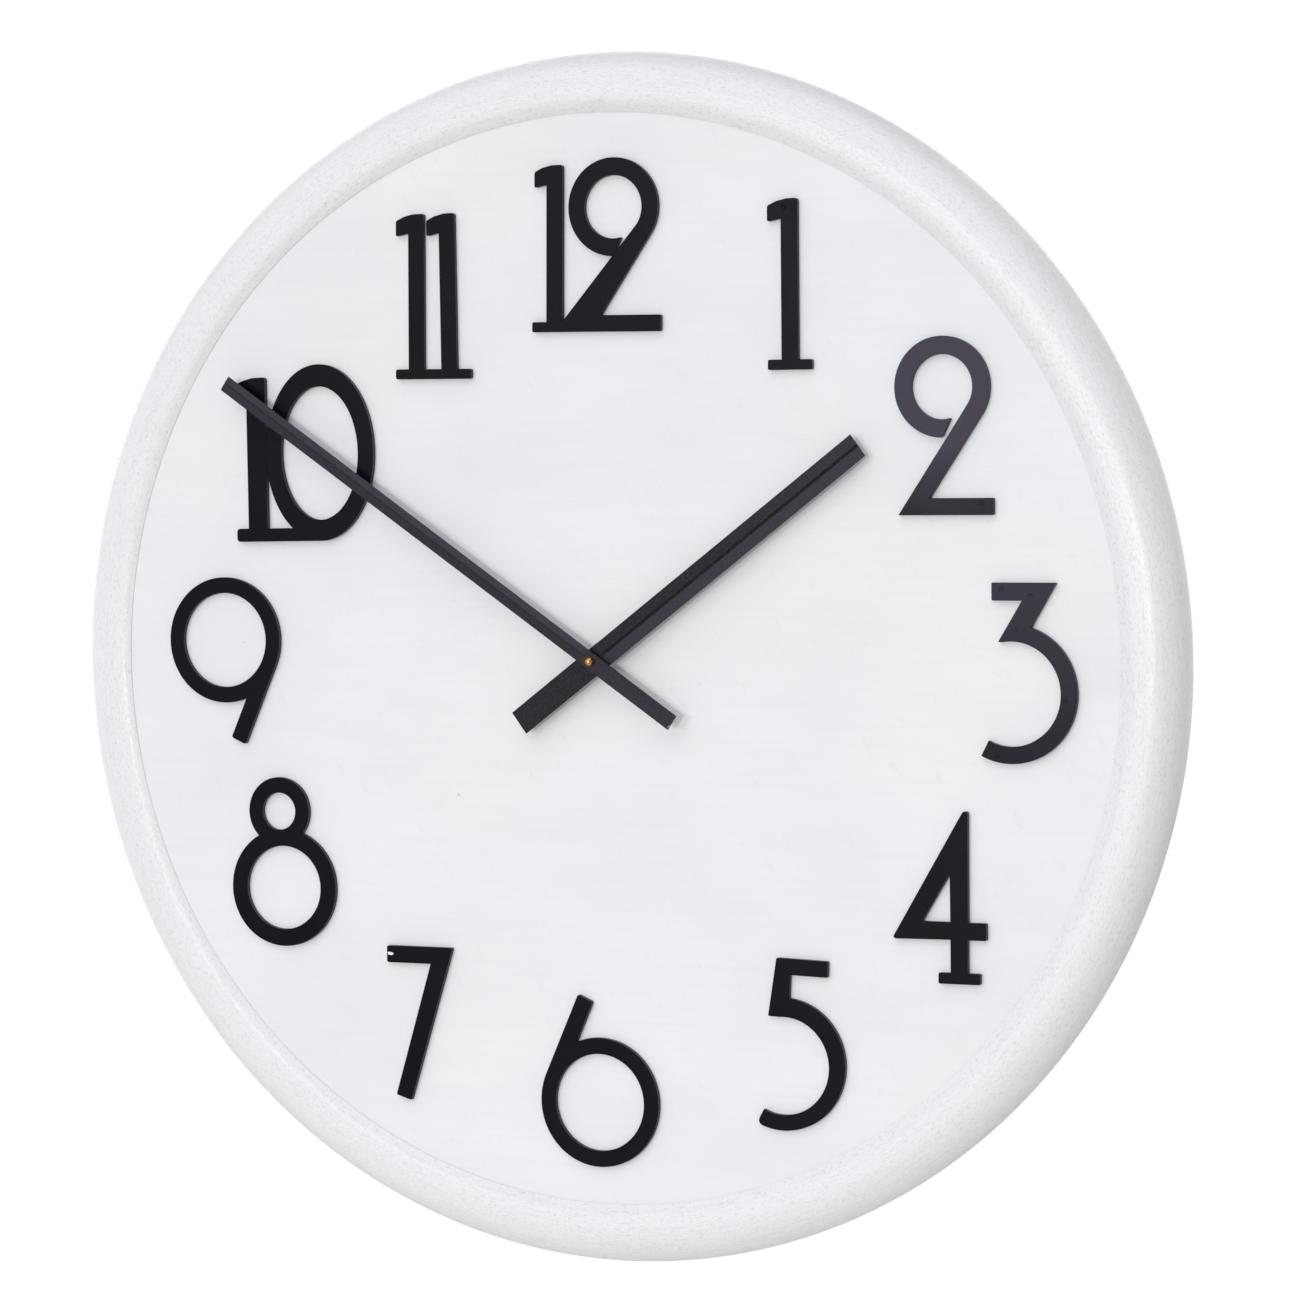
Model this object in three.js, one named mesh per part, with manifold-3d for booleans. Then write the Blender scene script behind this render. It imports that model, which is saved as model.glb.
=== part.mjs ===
// Wall clock: a round whitewashed wooden case, a flat dial with twelve loose metal numerals,
// two plain bar hands and a battery quartz movement hung behind the dial.
//
// Millimetres. +Z is up and the dial faces -Y. The origin is where the clock's axis meets the
// wall, so a distance from the wall is written as a positive number and placed at minus Y.
import * as THREE from "three";
import { mergeVertices } from "three/addons/utils/BufferGeometryUtils.js";
import Module from "manifold-3d";

// ---------------------------------------------------------------- case and dial
const RIM_RADIUS = 351; // widest circle of the rim
const RIM_WIDEST_OFF_WALL = 18.5; // where that circle lies
const RIM_BEAD = 22; // from the widest circle in to the bead's highest circle
const RIM_BEAD_PROUD = 3; // how far that circle stands in front of the dial
const RIM_WIDE = 35.4; // from the widest circle in to the lip, the visible edge of the dial
const RIM_LIP_EDGE = 0.9; // upright step between the dial and the rim's slope
const RIM_REBATE_WALL = 5; // how far the lip laps over the dial's edge
const RIM_FACETS = 72;

const DIAL_OFF_WALL = 35; // front face of the dial
const DIAL_THICK = 9;

const RIM_CREST_RADIUS = RIM_RADIUS - RIM_BEAD;
const RIM_CREST_OFF_WALL = DIAL_OFF_WALL + RIM_BEAD_PROUD;
const RIM_BACK_LAND_RADIUS = RIM_CREST_RADIUS; // outer edge of the flat at the back
const RIM_OPENING_RADIUS = RIM_RADIUS - RIM_WIDE;

// The numerals are drawn and placed for a dial that shows a radius of 315.6 and grow with it.
const FACE = RIM_OPENING_RADIUS / 315.6;

const FIT = 0.3; // gap around a piece let into another
const SEAT = 0.1; // gap under a piece that lies on another
const RUN = 0.15; // running clearance of an arbor

const PAD_THICK = 1.5; // felt pads between the rim and the wall
const PAD_RADIUS = 3.6;
const PAD_ANGLES = [0, 120, 240];

// ---------------------------------------------------------------- numerals
const NUMERAL_THICK = 3;
const GLUE_LINE = 0.3;
const STROKE = 10.2; // width of every plain stroke
const STUD_RADIUS = 1.2; // locating studs on a numeral's back
const STUD_LONG = 5;
const STUD_HOLE_DEEP = 6;

// ---------------------------------------------------------------- hands
const HOUR_TIP_CLEAR = 110.6; // from a hand's tip to the rim's lip
const MINUTE_TIP_CLEAR = 25.1;
const HOUR_HAND = {
  width: 15,
  tip: RIM_OPENING_RADIUS - HOUR_TIP_CLEAR,
  tail: 61,
  thick: 1,
  front: DIAL_OFF_WALL + 9,
  angle: 53.2,
};
const MINUTE_HAND = {
  width: 9.5,
  tip: RIM_OPENING_RADIUS - MINUTE_TIP_CLEAR,
  tail: 61.5,
  thick: 1,
  front: HOUR_HAND.front + 5,
  angle: 304.2,
};
const HAND_GROOVE_WIDE = 1.6;
const HAND_GROOVE_DEEP = 0.4;
const HAND_GROOVE_START = 7;
const COLLET_STEP = 0.9; // the collet's spigot is this much thinner
const CAP_NUT_LONG = 4.3;

// ---------------------------------------------------------------- movement
const CELL_RADIUS = 7.1; // AA cell
const CELL_LONG = 50.2;
const CASE_SIDE = 41.8 + 2 * CELL_RADIUS; // square movement case: the works above, the cell below
const CASE_DEEP = 2 * CELL_RADIUS + 1.8;
const CASE_WALL = 1.4;
const COVER_THICK = 1.3;
const PLATE_THICK = 1.2; // steel hanger plate
const WASHER_THICK = 1;
const HOUR_TUBE_RADIUS = 2.55;
const HOUR_TUBE_WALL = 0.6;
const BUSH_WALL = 1.3;
const BUSH_RADIUS = HOUR_TUBE_RADIUS + RUN + BUSH_WALL; // threaded bush around the arbors
const MINUTE_ARBOR_RADIUS = HOUR_TUBE_RADIUS - HOUR_TUBE_WALL - 0.2;
const MINUTE_THREAD_RADIUS = MINUTE_ARBOR_RADIUS - 0.35;
const HOUR_COLLET_RADIUS = HOUR_TUBE_RADIUS + 1.65;
const MINUTE_COLLET_RADIUS = MINUTE_ARBOR_RADIUS + 1.35;
const CAP_NUT_RADIUS = MINUTE_THREAD_RADIUS + 1;
const NUT_FLATS = 3 * BUSH_RADIUS;
const NUT_THICK = 2.3;
const NUT_CORNER = NUT_FLATS / 2 / Math.cos(Math.PI / 6);
const DIAL_BORE_RADIUS = BUSH_RADIUS + 0.6;
const DIAL_NUT_POCKET_RADIUS = NUT_CORNER + 0.67;
const DIAL_NUT_POCKET_DEEP = NUT_THICK + 0.6;

// Off-wall levels that everything in the stack is counted from.
const DIAL_BACK = DIAL_OFF_WALL - DIAL_THICK;
const PLATE_FRONT = DIAL_BACK - SEAT;
const WASHER_FRONT = PLATE_FRONT - PLATE_THICK - SEAT;
const CASE_FRONT = WASHER_FRONT - WASHER_THICK - SEAT;
const CASE_BACK = CASE_FRONT - CASE_DEEP;
const CASE_INNER = CASE_FRONT - CASE_WALL;
const COVER_FRONT = CASE_BACK + COVER_THICK;

// ---------------------------------------------------------------- gears
const MOTION_MODULE = 0.48; // hour wheel, minute wheel, setting pinion
const TRAIN_MODULE = 0.34;
const CENTRE_MODULE = 0.36;
const ROTOR_MODULE = 0.3;
const CANNON_TEETH = 10;
const MINUTE_WHEEL_TEETH = 30;
const MINUTE_PINION_TEETH = 8;
const HOUR_WHEEL_TEETH = 32;
const SETTING_TEETH = 10;
const CENTRE_TEETH = 45;
const THIRD_PINION_TEETH = 6;
const THIRD_TEETH = 48;
const SECONDS_PINION_TEETH = 6;
const SECONDS_TEETH = 40;
const INTERMEDIATE_PINION_TEETH = 8;
const INTERMEDIATE_TEETH = 36;
const ROTOR_TEETH = 6;

const wasm = await Module();
wasm.setup();

// ================================================================ making shapes
const rad = (degrees) => (degrees * Math.PI) / 180;
const polar = (radius, clockwise) => [
  radius * Math.sin(rad(clockwise)),
  radius * Math.cos(rad(clockwise)),
];

// Points of an arc, from angle a0 to a1 in degrees, anticlockwise when a1 is larger.
function arc(cx, cz, rx, a0, a1, rz = rx, step = 15) {
  const count = Math.max(2, Math.ceil(Math.abs(a1 - a0) / step));
  return Array.from({ length: count + 1 }, (_, i) => {
    const a = rad(a0 + ((a1 - a0) * i) / count);
    return [cx + rx * Math.cos(a), cz + rz * Math.sin(a)];
  });
}

const ring = (cx, cz, radius, sides) => arc(cx, cz, radius, 0, 360, radius, 360 / sides).slice(0, -1);

// A closed outline; a point written [x, z, r] has its corner rounded by r.
function outline(points) {
  const out = [];
  points.forEach(([x, z, r], i) => {
    if (!r) return out.push(new THREE.Vector2(x, z));
    const here = new THREE.Vector2(x, z);
    const toward = (j) => {
      const [px, pz] = points[(j + points.length) % points.length];
      return new THREE.Vector2(px, pz).sub(here).normalize();
    };
    const before = here.clone().addScaledVector(toward(i - 1), r);
    const after = here.clone().addScaledVector(toward(i + 1), r);
    out.push(...new THREE.QuadraticBezierCurve(before, here, after).getPoints(2));
  });
  return out;
}

function shapeOf(points, holes = []) {
  const shape = new THREE.Shape(outline(points));
  shape.holes = holes.map((hole) => new THREE.Path(outline(hole)));
  return shape;
}

// A flat piece whose front face is `front` off the wall.
function plate(points, front, thick, holes = []) {
  const flat = new THREE.ExtrudeGeometry(shapeOf(points, holes), {
    depth: thick,
    bevelEnabled: false,
  });
  return flat.rotateX(Math.PI / 2).translate(0, -(front - thick), 0);
}

const peg = (x, z, radius, front, long, sides = 12) => plate(ring(x, z, radius, sides), front, long);

const block = (x0, x1, z0, z1, front, thick) =>
  plate([[x0, z0], [x1, z0], [x1, z1], [x0, z1]], front, thick);

// A piece turned about the clock's axis from a closed profile of [radius, off wall].
function turned(profile, facets = 20) {
  const points = profile.map(([r, off]) => new THREE.Vector2(r, -off));
  if (!THREE.ShapeUtils.isClockWise(points)) points.reverse();
  points.push(points[0].clone());
  return new THREE.LatheGeometry(points.reverse(), facets);
}

function solid(geometry) {
  const bare = geometry.clone();
  bare.deleteAttribute("normal");
  bare.deleteAttribute("uv");
  const merged = mergeVertices(bare, 1e-4);
  return new wasm.Manifold(
    new wasm.Mesh({
      numProp: 3,
      vertProperties: merged.attributes.position.array,
      triVerts: new Uint32Array(merged.index.array),
    }),
  );
}

function geometryOf(made) {
  const mesh = made.getMesh();
  const geometry = new THREE.BufferGeometry();
  geometry.setAttribute("position", new THREE.BufferAttribute(mesh.vertProperties, 3));
  geometry.setIndex(new THREE.BufferAttribute(mesh.triVerts, 1));
  geometry.computeVertexNormals();
  return geometry;
}

const join = (first, ...rest) =>
  geometryOf(rest.reduce((body, g) => body.add(solid(g)), solid(first)));
const cut = (body, ...tools) =>
  geometryOf(tools.reduce((left, g) => left.subtract(solid(g)), solid(body)));

// Gear outline with straight-sided teeth, slim enough to run freely in mesh. The fine wheels
// of the going train have pointed teeth.
const BLUNT = [-0.09, 0.09];
const POINTED = [0];
function gear(teeth, module, phase, x = 0, z = 0, crown = BLUNT) {
  const pitch = 360 / teeth;
  const root = (teeth * module) / 2 - 1.15 * module;
  const tip = (teeth * module) / 2 + 0.75 * module;
  const points = [];
  for (let i = 0; i < teeth; i += 1) {
    const at = phase + i * pitch;
    for (const [r, a] of [[root, -0.24], ...crown.map((a) => [tip, a]), [root, 0.24]]) {
      const angle = rad(at + a * pitch);
      points.push([x + r * Math.cos(angle), z + r * Math.sin(angle)]);
    }
  }
  return points;
}

// Phase of a gear whose gap must meet the teeth of a first gear, along `direction` from it.
function meshPhase(teeth1, phase1, direction, teeth2) {
  const pitch1 = 360 / teeth1;
  const past = (((direction - phase1) % pitch1) + pitch1) % pitch1;
  return direction + 180 + (past / pitch1 + 0.5) * (360 / teeth2);
}

const centres = (teeth1, teeth2, module) => ((teeth1 + teeth2) * module) / 2;
const step = ([x, z], distance, direction) => [
  x + distance * Math.cos(rad(direction)),
  z + distance * Math.sin(rad(direction)),
];

// ================================================================ materials
const material = (color, roughness, metalness = 0) =>
  new THREE.MeshStandardMaterial({ color, roughness, metalness });

const FINISH = {
  whitewash: material(0xe9e8ea, 0.62),
  dialWhite: material(0xe9ecef, 0.6),
  numeralBlack: material(0x1f1e25, 0.42, 0.3),
  handBlack: material(0x36343c, 0.5, 0.35),
  brass: material(0xc8913f, 0.28, 1),
  zinc: material(0xb9bcc0, 0.4, 1),
  blackPlastic: material(0x222326, 0.55),
  greyPlastic: material(0x3a3c40, 0.5),
  gearPlastic: material(0xe6e2d4, 0.5),
  rubber: material(0x1a1a1a, 0.85),
  felt: material(0x5a5a58, 0.95),
  copper: material(0xb8693a, 0.35, 1),
  board: material(0x2f6b3c, 0.5),
  cell: material(0x9aa0a6, 0.4, 0.6),
};

const clock = new THREE.Group();

function piece(name, finish, geometry, parent = clock) {
  const mesh = new THREE.Mesh(geometry, finish);
  mesh.name = name;
  parent.add(mesh);
  return mesh;
}

// ================================================================ case
const rebateRadius = RIM_OPENING_RADIUS + RIM_REBATE_WALL;
const rimBack = PAD_THICK;
const lipBack = DIAL_OFF_WALL + FIT;
const clipAngles = [45, 135, 225, 315];
const CLIP_SCREW_OFF_WALL = DIAL_BACK - 12;
const CLIP_SCREW_RADIUS = 1.5;
const CLIP_SCREW_LONG = 12;

function rimProfile() {
  const crest = [RIM_CREST_RADIUS, RIM_CREST_OFF_WALL];
  const wide = RIM_RADIUS - RIM_CREST_RADIUS;
  const high = RIM_CREST_OFF_WALL - RIM_WIDEST_OFF_WALL;
  const lip = lipBack + RIM_LIP_EDGE;
  const slope = new THREE.QuadraticBezierCurve(
    new THREE.Vector2(RIM_OPENING_RADIUS, lip),
    new THREE.Vector2(RIM_OPENING_RADIUS + 5.5, crest[1] - 0.1),
    new THREE.Vector2(...crest),
  ).getPoints(3);
  const bead = arc(crest[0], RIM_WIDEST_OFF_WALL, wide, 90, 0, high, 18);
  const backWide = RIM_RADIUS - RIM_BACK_LAND_RADIUS;
  const backHigh = RIM_WIDEST_OFF_WALL - rimBack;
  const back = arc(RIM_BACK_LAND_RADIUS, RIM_WIDEST_OFF_WALL, backWide, 0, -90, backHigh, 30);
  return [
    [rebateRadius, rimBack],
    [rebateRadius, lipBack],
    [RIM_OPENING_RADIUS, lipBack],
    ...slope.map((p) => [p.x, p.y]),
    ...bead.slice(1),
    ...back.slice(1),
  ];
}

// A round bar that runs outwards from the axis, `clockwise` from twelve o'clock.
function spoke(inner, long, radius, off, clockwise, sides = 8) {
  const bar = new THREE.CylinderGeometry(radius, radius, long, sides);
  bar.rotateX(Math.PI / 2).translate(0, 0, inner + long / 2);
  return bar.rotateY(rad(clockwise)).translate(0, -off, 0);
}

const CLIP_THICK = 1.2;
const CLIP_WIDE = 18;
const CLIP_FOOT = 16;
const CLIP_RISE = 18;

// The rim's inner wall is made of flat facets, and a clip lies against one facet's middle.
const facetMiddle = (clockwise) => {
  const turn = 360 / RIM_FACETS;
  return (Math.floor(clockwise / turn) + 0.5) * turn;
};
const facetFlat = rebateRadius * Math.cos(Math.PI / RIM_FACETS);
const clipWall = facetFlat - 0.6;

function clip(clockwise) {
  const foot = DIAL_BACK - SEAT;
  const profile = [
    [clipWall - CLIP_FOOT, foot],
    [clipWall, foot],
    [clipWall, foot - CLIP_RISE],
    [clipWall - CLIP_THICK, foot - CLIP_RISE],
    [clipWall - CLIP_THICK, foot - CLIP_THICK],
    [clipWall - CLIP_FOOT, foot - CLIP_THICK],
  ].map(([r, off]) => [-off, r]);
  const angle = new THREE.ExtrudeGeometry(shapeOf(profile), {
    depth: CLIP_WIDE,
    bevelEnabled: false,
  });
  // The profile is drawn as (Y, Z), so the extrusion is laid along X.
  angle.applyMatrix4(new THREE.Matrix4().set(0, 0, 1, -CLIP_WIDE / 2, 1, 0, 0, 0, 0, 1, 0, 0, 0, 0, 0, 1));
  angle.rotateY(rad(clockwise));
  const reach = CLIP_THICK + 2;
  const screwHole = CLIP_SCREW_RADIUS + FIT;
  return cut(angle, spoke(clipWall - reach, 2 * reach, screwHole, CLIP_SCREW_OFF_WALL, clockwise));
}

function clipScrew(clockwise) {
  const seat = clipWall - CLIP_THICK - SEAT;
  const shank = spoke(seat - 0.5, CLIP_SCREW_LONG, CLIP_SCREW_RADIUS, CLIP_SCREW_OFF_WALL, clockwise);
  const head = spoke(seat - 1.8, 1.8, CLIP_SCREW_RADIUS * 2, CLIP_SCREW_OFF_WALL, clockwise, 12);
  return join(shank, head);
}

const screwPilot = (clockwise) =>
  spoke(facetFlat - 2, CLIP_SCREW_LONG + 2, CLIP_SCREW_RADIUS + FIT, CLIP_SCREW_OFF_WALL, clockwise);

const clipMiddles = clipAngles.map(facetMiddle);
piece("rim", FINISH.whitewash, cut(turned(rimProfile(), RIM_FACETS), ...clipMiddles.map(screwPilot)));
clipMiddles.forEach((middle, i) => {
  piece(`dial_clip_${i + 1}`, FINISH.zinc, clip(middle));
  piece(`dial_clip_screw_${i + 1}`, FINISH.zinc, clipScrew(middle));
});

const padCircle = (rebateRadius + RIM_BACK_LAND_RADIUS) / 2;
PAD_ANGLES.forEach((angle, i) => {
  const [x, z] = polar(padCircle, angle);
  piece(`wall_pad_${i + 1}`, FINISH.felt, peg(x, z, PAD_RADIUS, rimBack - SEAT, rimBack - SEAT));
});

// ================================================================ numerals
// Each glyph is drawn upright and gives its outlines and the places of its studs.
// The old-style 1 has a curved flag and, where it stands alone, a slab foot.
function oneStroke(stem, flag, height, foot) {
  return [
    [-stem, foot],
    [stem, foot],
    [stem, height, 2],
    [-2, height - 0.2],
    [-8, height - 1.6],
    [-flag, height - 4, 1.2],
    [-flag, height - 13, 1.2],
    [-stem, height - 11.4],
  ];
}
const footSlab = (left, right, high, corner = 1) => [
  [left, 0, corner],
  [right, 0, corner],
  [right, high, corner],
  [left, high, corner],
];

const ONE_HIGH = 96.6;
const ONE_FOOT_HIGH = 5.8;
const one = {
  parts: [
    { line: oneStroke(STROKE / 2, 13.4, ONE_HIGH, 1) },
    { line: footSlab(-13.5, 13.5, ONE_FOOT_HIGH) },
  ],
  studs: [[0, 12], [0, 86]],
};

const TWO = { cx: 25.3, cz: 71.4, outer: 28.3, slant: 34, bar: 9.5, wide: 55.6 };
function twoLine(barLeft = 0) {
  const { cx, cz, outer, slant, bar, wide } = TWO;
  const inner = outer - STROKE;
  const tangent = -slant;
  const down = Math.tan(rad(slant));
  const [ox, oz] = [cx + outer * Math.cos(rad(tangent)), cz + outer * Math.sin(rad(tangent))];
  const [ix, iz] = [cx + inner * Math.cos(rad(tangent)), cz + inner * Math.sin(rad(tangent))];
  return [
    [Math.min(barLeft, ix - iz * down), 0],
    [wide, 0, 1],
    [wide, bar, 1],
    [ox - (oz - bar) * down, bar],
    ...arc(cx, cz, outer, tangent, 269),
    ...arc(cx, cz, inner, 287, tangent),
  ];
}
const two = { parts: [{ line: twoLine() }], studs: [[49, 4.8], [25.3, 94.6], [8, 5]] };

const three = {
  parts: [
    {
      line: [
        [-11.1, 51.8, 0.8],
        [6.7, 51.8],
        [-7.4, 28.8, 0.8],
        ...arc(0, 0, 29.2, 100, -117),
        ...arc(0, 0, 38.8, -117, 72),
        [26.8, 61.8, 0.8],
        [-11.1, 61.8, 0.8],
      ],
    },
  ],
  studs: [[-5, 56.8], [11, 55], [33.4, -6], [-11, -32.2]],
};

const four = {
  parts: [
    {
      line: [
        [-12.4, 0, 1],
        [12.4, 0, 1],
        [12.4, 6.2, 1],
        [5.1, 6.2],
        [5.1, 24.8],
        [16.2, 24.8, 1],
        [16.2, 34.6, 1],
        [5.3, 34.6],
        [5.4, 96.7, 1.4],
        [2.6, 96.7, 0.8],
        [-39.6, 25.4, 1],
        [-38.2, 24.4, 0.6],
        [-5.1, 24.8],
        [-5.1, 6.2],
        [-12.4, 6.2, 1],
      ],
      holes: [[[-21.9, 34.7], [-5.1, 34.7], [-5.4, 61.8]]],
    },
  ],
  studs: [[0, 14], [0, 76], [-26, 29.6]],
};

const five = {
  parts: [
    {
      line: [
        [-10.1, 26.9, 1],
        ...arc(0, -1, 28, 96, -114),
        [-15.6, -34.6, 4],
        ...arc(0, 0, 38, -108, 86),
        [2.9, 51.2],
        [25.9, 51.2, 1],
        [25.9, 60.5, 1],
        [-5.8, 60.5, 1],
      ],
    },
  ],
  studs: [[-1, 56], [33, -4], [0, 32.5]],
};

// The 6 and the 9 are the same plate, turned half round.
const SIX = { outer: 37.6, inner: 28.2, slant: 24, reach: 51.6 };
function sixLine() {
  const { outer, slant, reach } = SIX;
  const across = [-Math.cos(rad(slant)), Math.sin(rad(slant))];
  const along = [Math.sin(rad(slant)), Math.cos(rad(slant))];
  const near = outer - STROKE;
  const meet = Math.sqrt(outer * outer - near * near);
  const at = (side, run) => [side * across[0] + run * along[0], side * across[1] + run * along[1]];
  const leave = (Math.atan2(at(near, meet)[1], at(near, meet)[0]) * 180) / Math.PI;
  return [
    [...at(near, reach), 1.4],
    [...at(outer, reach), 1.4],
    ...arc(0, 0, outer, 180 - slant, 360 + leave),
  ];
}
const sixHole = ring(0, 0, SIX.inner, 26);
const six = { parts: [{ line: sixLine(), holes: [sixHole] }], studs: [[-11, 54], [0, -32.9], [32.9, 0]] };

const seven = {
  parts: [
    {
      line: [
        [5.4, -88.3, 1],
        [15.3, -91.3, 1],
        [43.6, 0, 1.6],
        [0, 0, 1.4],
        [0, -10, 1.4],
        [28.9, -10],
      ],
    },
  ],
  studs: [[9, -5], [36, -8], [14, -76]],
};

const eight = {
  parts: [
    { line: ring(0, 0, 35.1, 28), holes: [ring(0, 0, 24.9, 24)] },
    { line: ring(-2.8, 45.6, 20.3, 20), holes: [ring(-2.8, 45.6, 11.1, 16)] },
  ],
  // The small ring's lower edge must not close the big ring's eye, nor the other way round.
  eyes: [ring(0, 0, 24.9, 24), ring(-2.8, 45.6, 11.1, 16)],
  studs: [[0, -30], [-2.8, 61.2]],
};

const ten = {
  parts: [
    { line: oneStroke(6.4, 14.4, 97.8, 1) },
    { line: [[-14.4, 0, 2.2], [43, 0], [43, 7.8], [-14.4, 7.8, 2.2]] },
    {
      line: arc(42.6, 52.3, 36.2, 0, 360, 52.3, 12).slice(0, -1),
      holes: [arc(42.6, 52, 25.9, 0, 360, 39.5).slice(0, -1)],
    },
  ],
  eyes: [arc(42.6, 52, 25.9, 0, 360, 39.5).slice(0, -1)],
  studs: [[0, 14], [0, 86], [73.5, 52], [42.6, 98]],
};

const ELEVEN_APART = 21.6;
const eleven = {
  parts: [
    { line: oneStroke(STROKE / 2, 13.2, ONE_HIGH, 1) },
    { line: oneStroke(STROKE / 2, 13.2, ONE_HIGH, 1), at: [ELEVEN_APART, 0], lean: -1 },
    { line: footSlab(-13.6, 36, ONE_FOOT_HIGH, 1.4) },
  ],
  studs: [[0, 14], [0, 86], [ELEVEN_APART, 14], [20.4, 84]],
};

const TWELVE_APART = 12;
const twelve = {
  parts: [
    { line: oneStroke(STROKE / 2, 12.8, 96.2, 1) },
    { line: twoLine(-12), at: [TWELVE_APART, 0] },
    { line: footSlab(-14.2, 24, ONE_FOOT_HIGH) },
  ],
  studs: [[0, 14], [0, 86], [TWELVE_APART + 48, 4.8], [TWELVE_APART + 25.3, 94.6]],
};

// Where each glyph's own origin lies on the dial, and how far it leans clockwise.
const NUMERALS = [
  [1, one, 121, 165.7, 0],
  [2, two, 187.2, 83.4, 0],
  [3, three, 252.4, -15.8, 0],
  [4, four, 221, -178.4, 0],
  [5, five, 113.8, -228.4, 1.8],
  [6, six, -2.1, -256.3, 0],
  [7, seven, -140.6, -170, 0],
  [8, eight, -209.9, -137.9, 0],
  [9, six, -248.6, 9.8, 180],
  [10, ten, -224.3, 68.8, -0.6],
  [11, eleven, -116.8, 164, 0.4],
  [12, twelve, -26.6, 189.8, 0.65],
];

const leaned = ([x, z, ...rest], lean) => [
  x * Math.cos(rad(lean)) + z * Math.sin(rad(lean)),
  z * Math.cos(rad(lean)) - x * Math.sin(rad(lean)),
  ...rest,
];
function placed(points, dx, dz, lean) {
  return points.map((p) => {
    const [x, z, ...rest] = leaned(p, lean);
    return [x + dx, z + dz, ...rest];
  });
}

const numeralFront = DIAL_OFF_WALL + GLUE_LINE + NUMERAL_THICK;
const studPlaces = [];
for (const [hour, glyph, x, z, lean] of NUMERALS) {
  const put = (points) => placed(points, x, z, lean).map((p) => p.map((size) => size * FACE));
  const flats = glyph.parts.map(({ line, holes = [], at = [0, 0], lean: own = 0 }) => {
    const here = (points) => put(placed(points, at[0], at[1], own));
    return plate(here(line), numeralFront, NUMERAL_THICK, holes.map(here));
  });
  const studs = put(glyph.studs);
  studPlaces.push(...studs);
  const pins = studs.map(([sx, sz]) =>
    peg(sx, sz, STUD_RADIUS, numeralFront - 1, NUMERAL_THICK - 1 + STUD_LONG, 6),
  );
  const eyes = (glyph.eyes ?? []).map((eye) => plate(put(eye), numeralFront + 1, NUMERAL_THICK + 2));
  piece(`numeral_${hour}`, FINISH.numeralBlack, cut(join(...flats, ...pins), ...eyes));
}

// ================================================================ dial
const SCREW_RADIUS = 1.6;
const SCREW_LONG = 7;
const EAR_SCREW_OUT = CASE_SIDE / 2 + 6; // the hanger plate's screws, either side of the movement
const screwPlaces = [[-EAR_SCREW_OUT, 0], [EAR_SCREW_OUT, 0]];

function dialPanel() {
  const edge = rebateRadius * Math.cos(Math.PI / RIM_FACETS) - FIT;
  const pocket = DIAL_BACK + DIAL_NUT_POCKET_DEEP;
  const disc = turned(
    [
      [DIAL_BORE_RADIUS, DIAL_OFF_WALL],
      [edge, DIAL_OFF_WALL],
      [edge, DIAL_BACK],
      [DIAL_NUT_POCKET_RADIUS, DIAL_BACK],
      [DIAL_NUT_POCKET_RADIUS, pocket],
      [DIAL_BORE_RADIUS, pocket],
    ],
    RIM_FACETS,
  );
  const studHoles = studPlaces.map(([x, z]) =>
    peg(x, z, STUD_RADIUS + FIT, DIAL_OFF_WALL + 1, STUD_HOLE_DEEP + 1, 6),
  );
  const screwHoles = screwPlaces.map(([x, z]) =>
    peg(x, z, SCREW_RADIUS + FIT, DIAL_BACK + SCREW_LONG, SCREW_LONG + 1, 6),
  );
  return cut(disc, ...studHoles, ...screwHoles);
}
piece("dial_panel", FINISH.dialWhite, dialPanel());

// ================================================================ hanger plate
const HANGER_WIDE = 26;
const HANGER_TOP = CASE_SIDE / 2 + 50;
const HANGER_STAND_OFF = 11; // room between the plate's loop and the dial for a screw head
const KEYHOLE_AT = CASE_SIDE / 2 + 28;
const KEYHOLE_RADIUS = 4.6;
const KEYHOLE_SLOT = 9;
const KEYHOLE_SLOT_RADIUS = 2.6;
const EAR_HIGH = 12;
const half = CASE_SIDE / 2;

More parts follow.
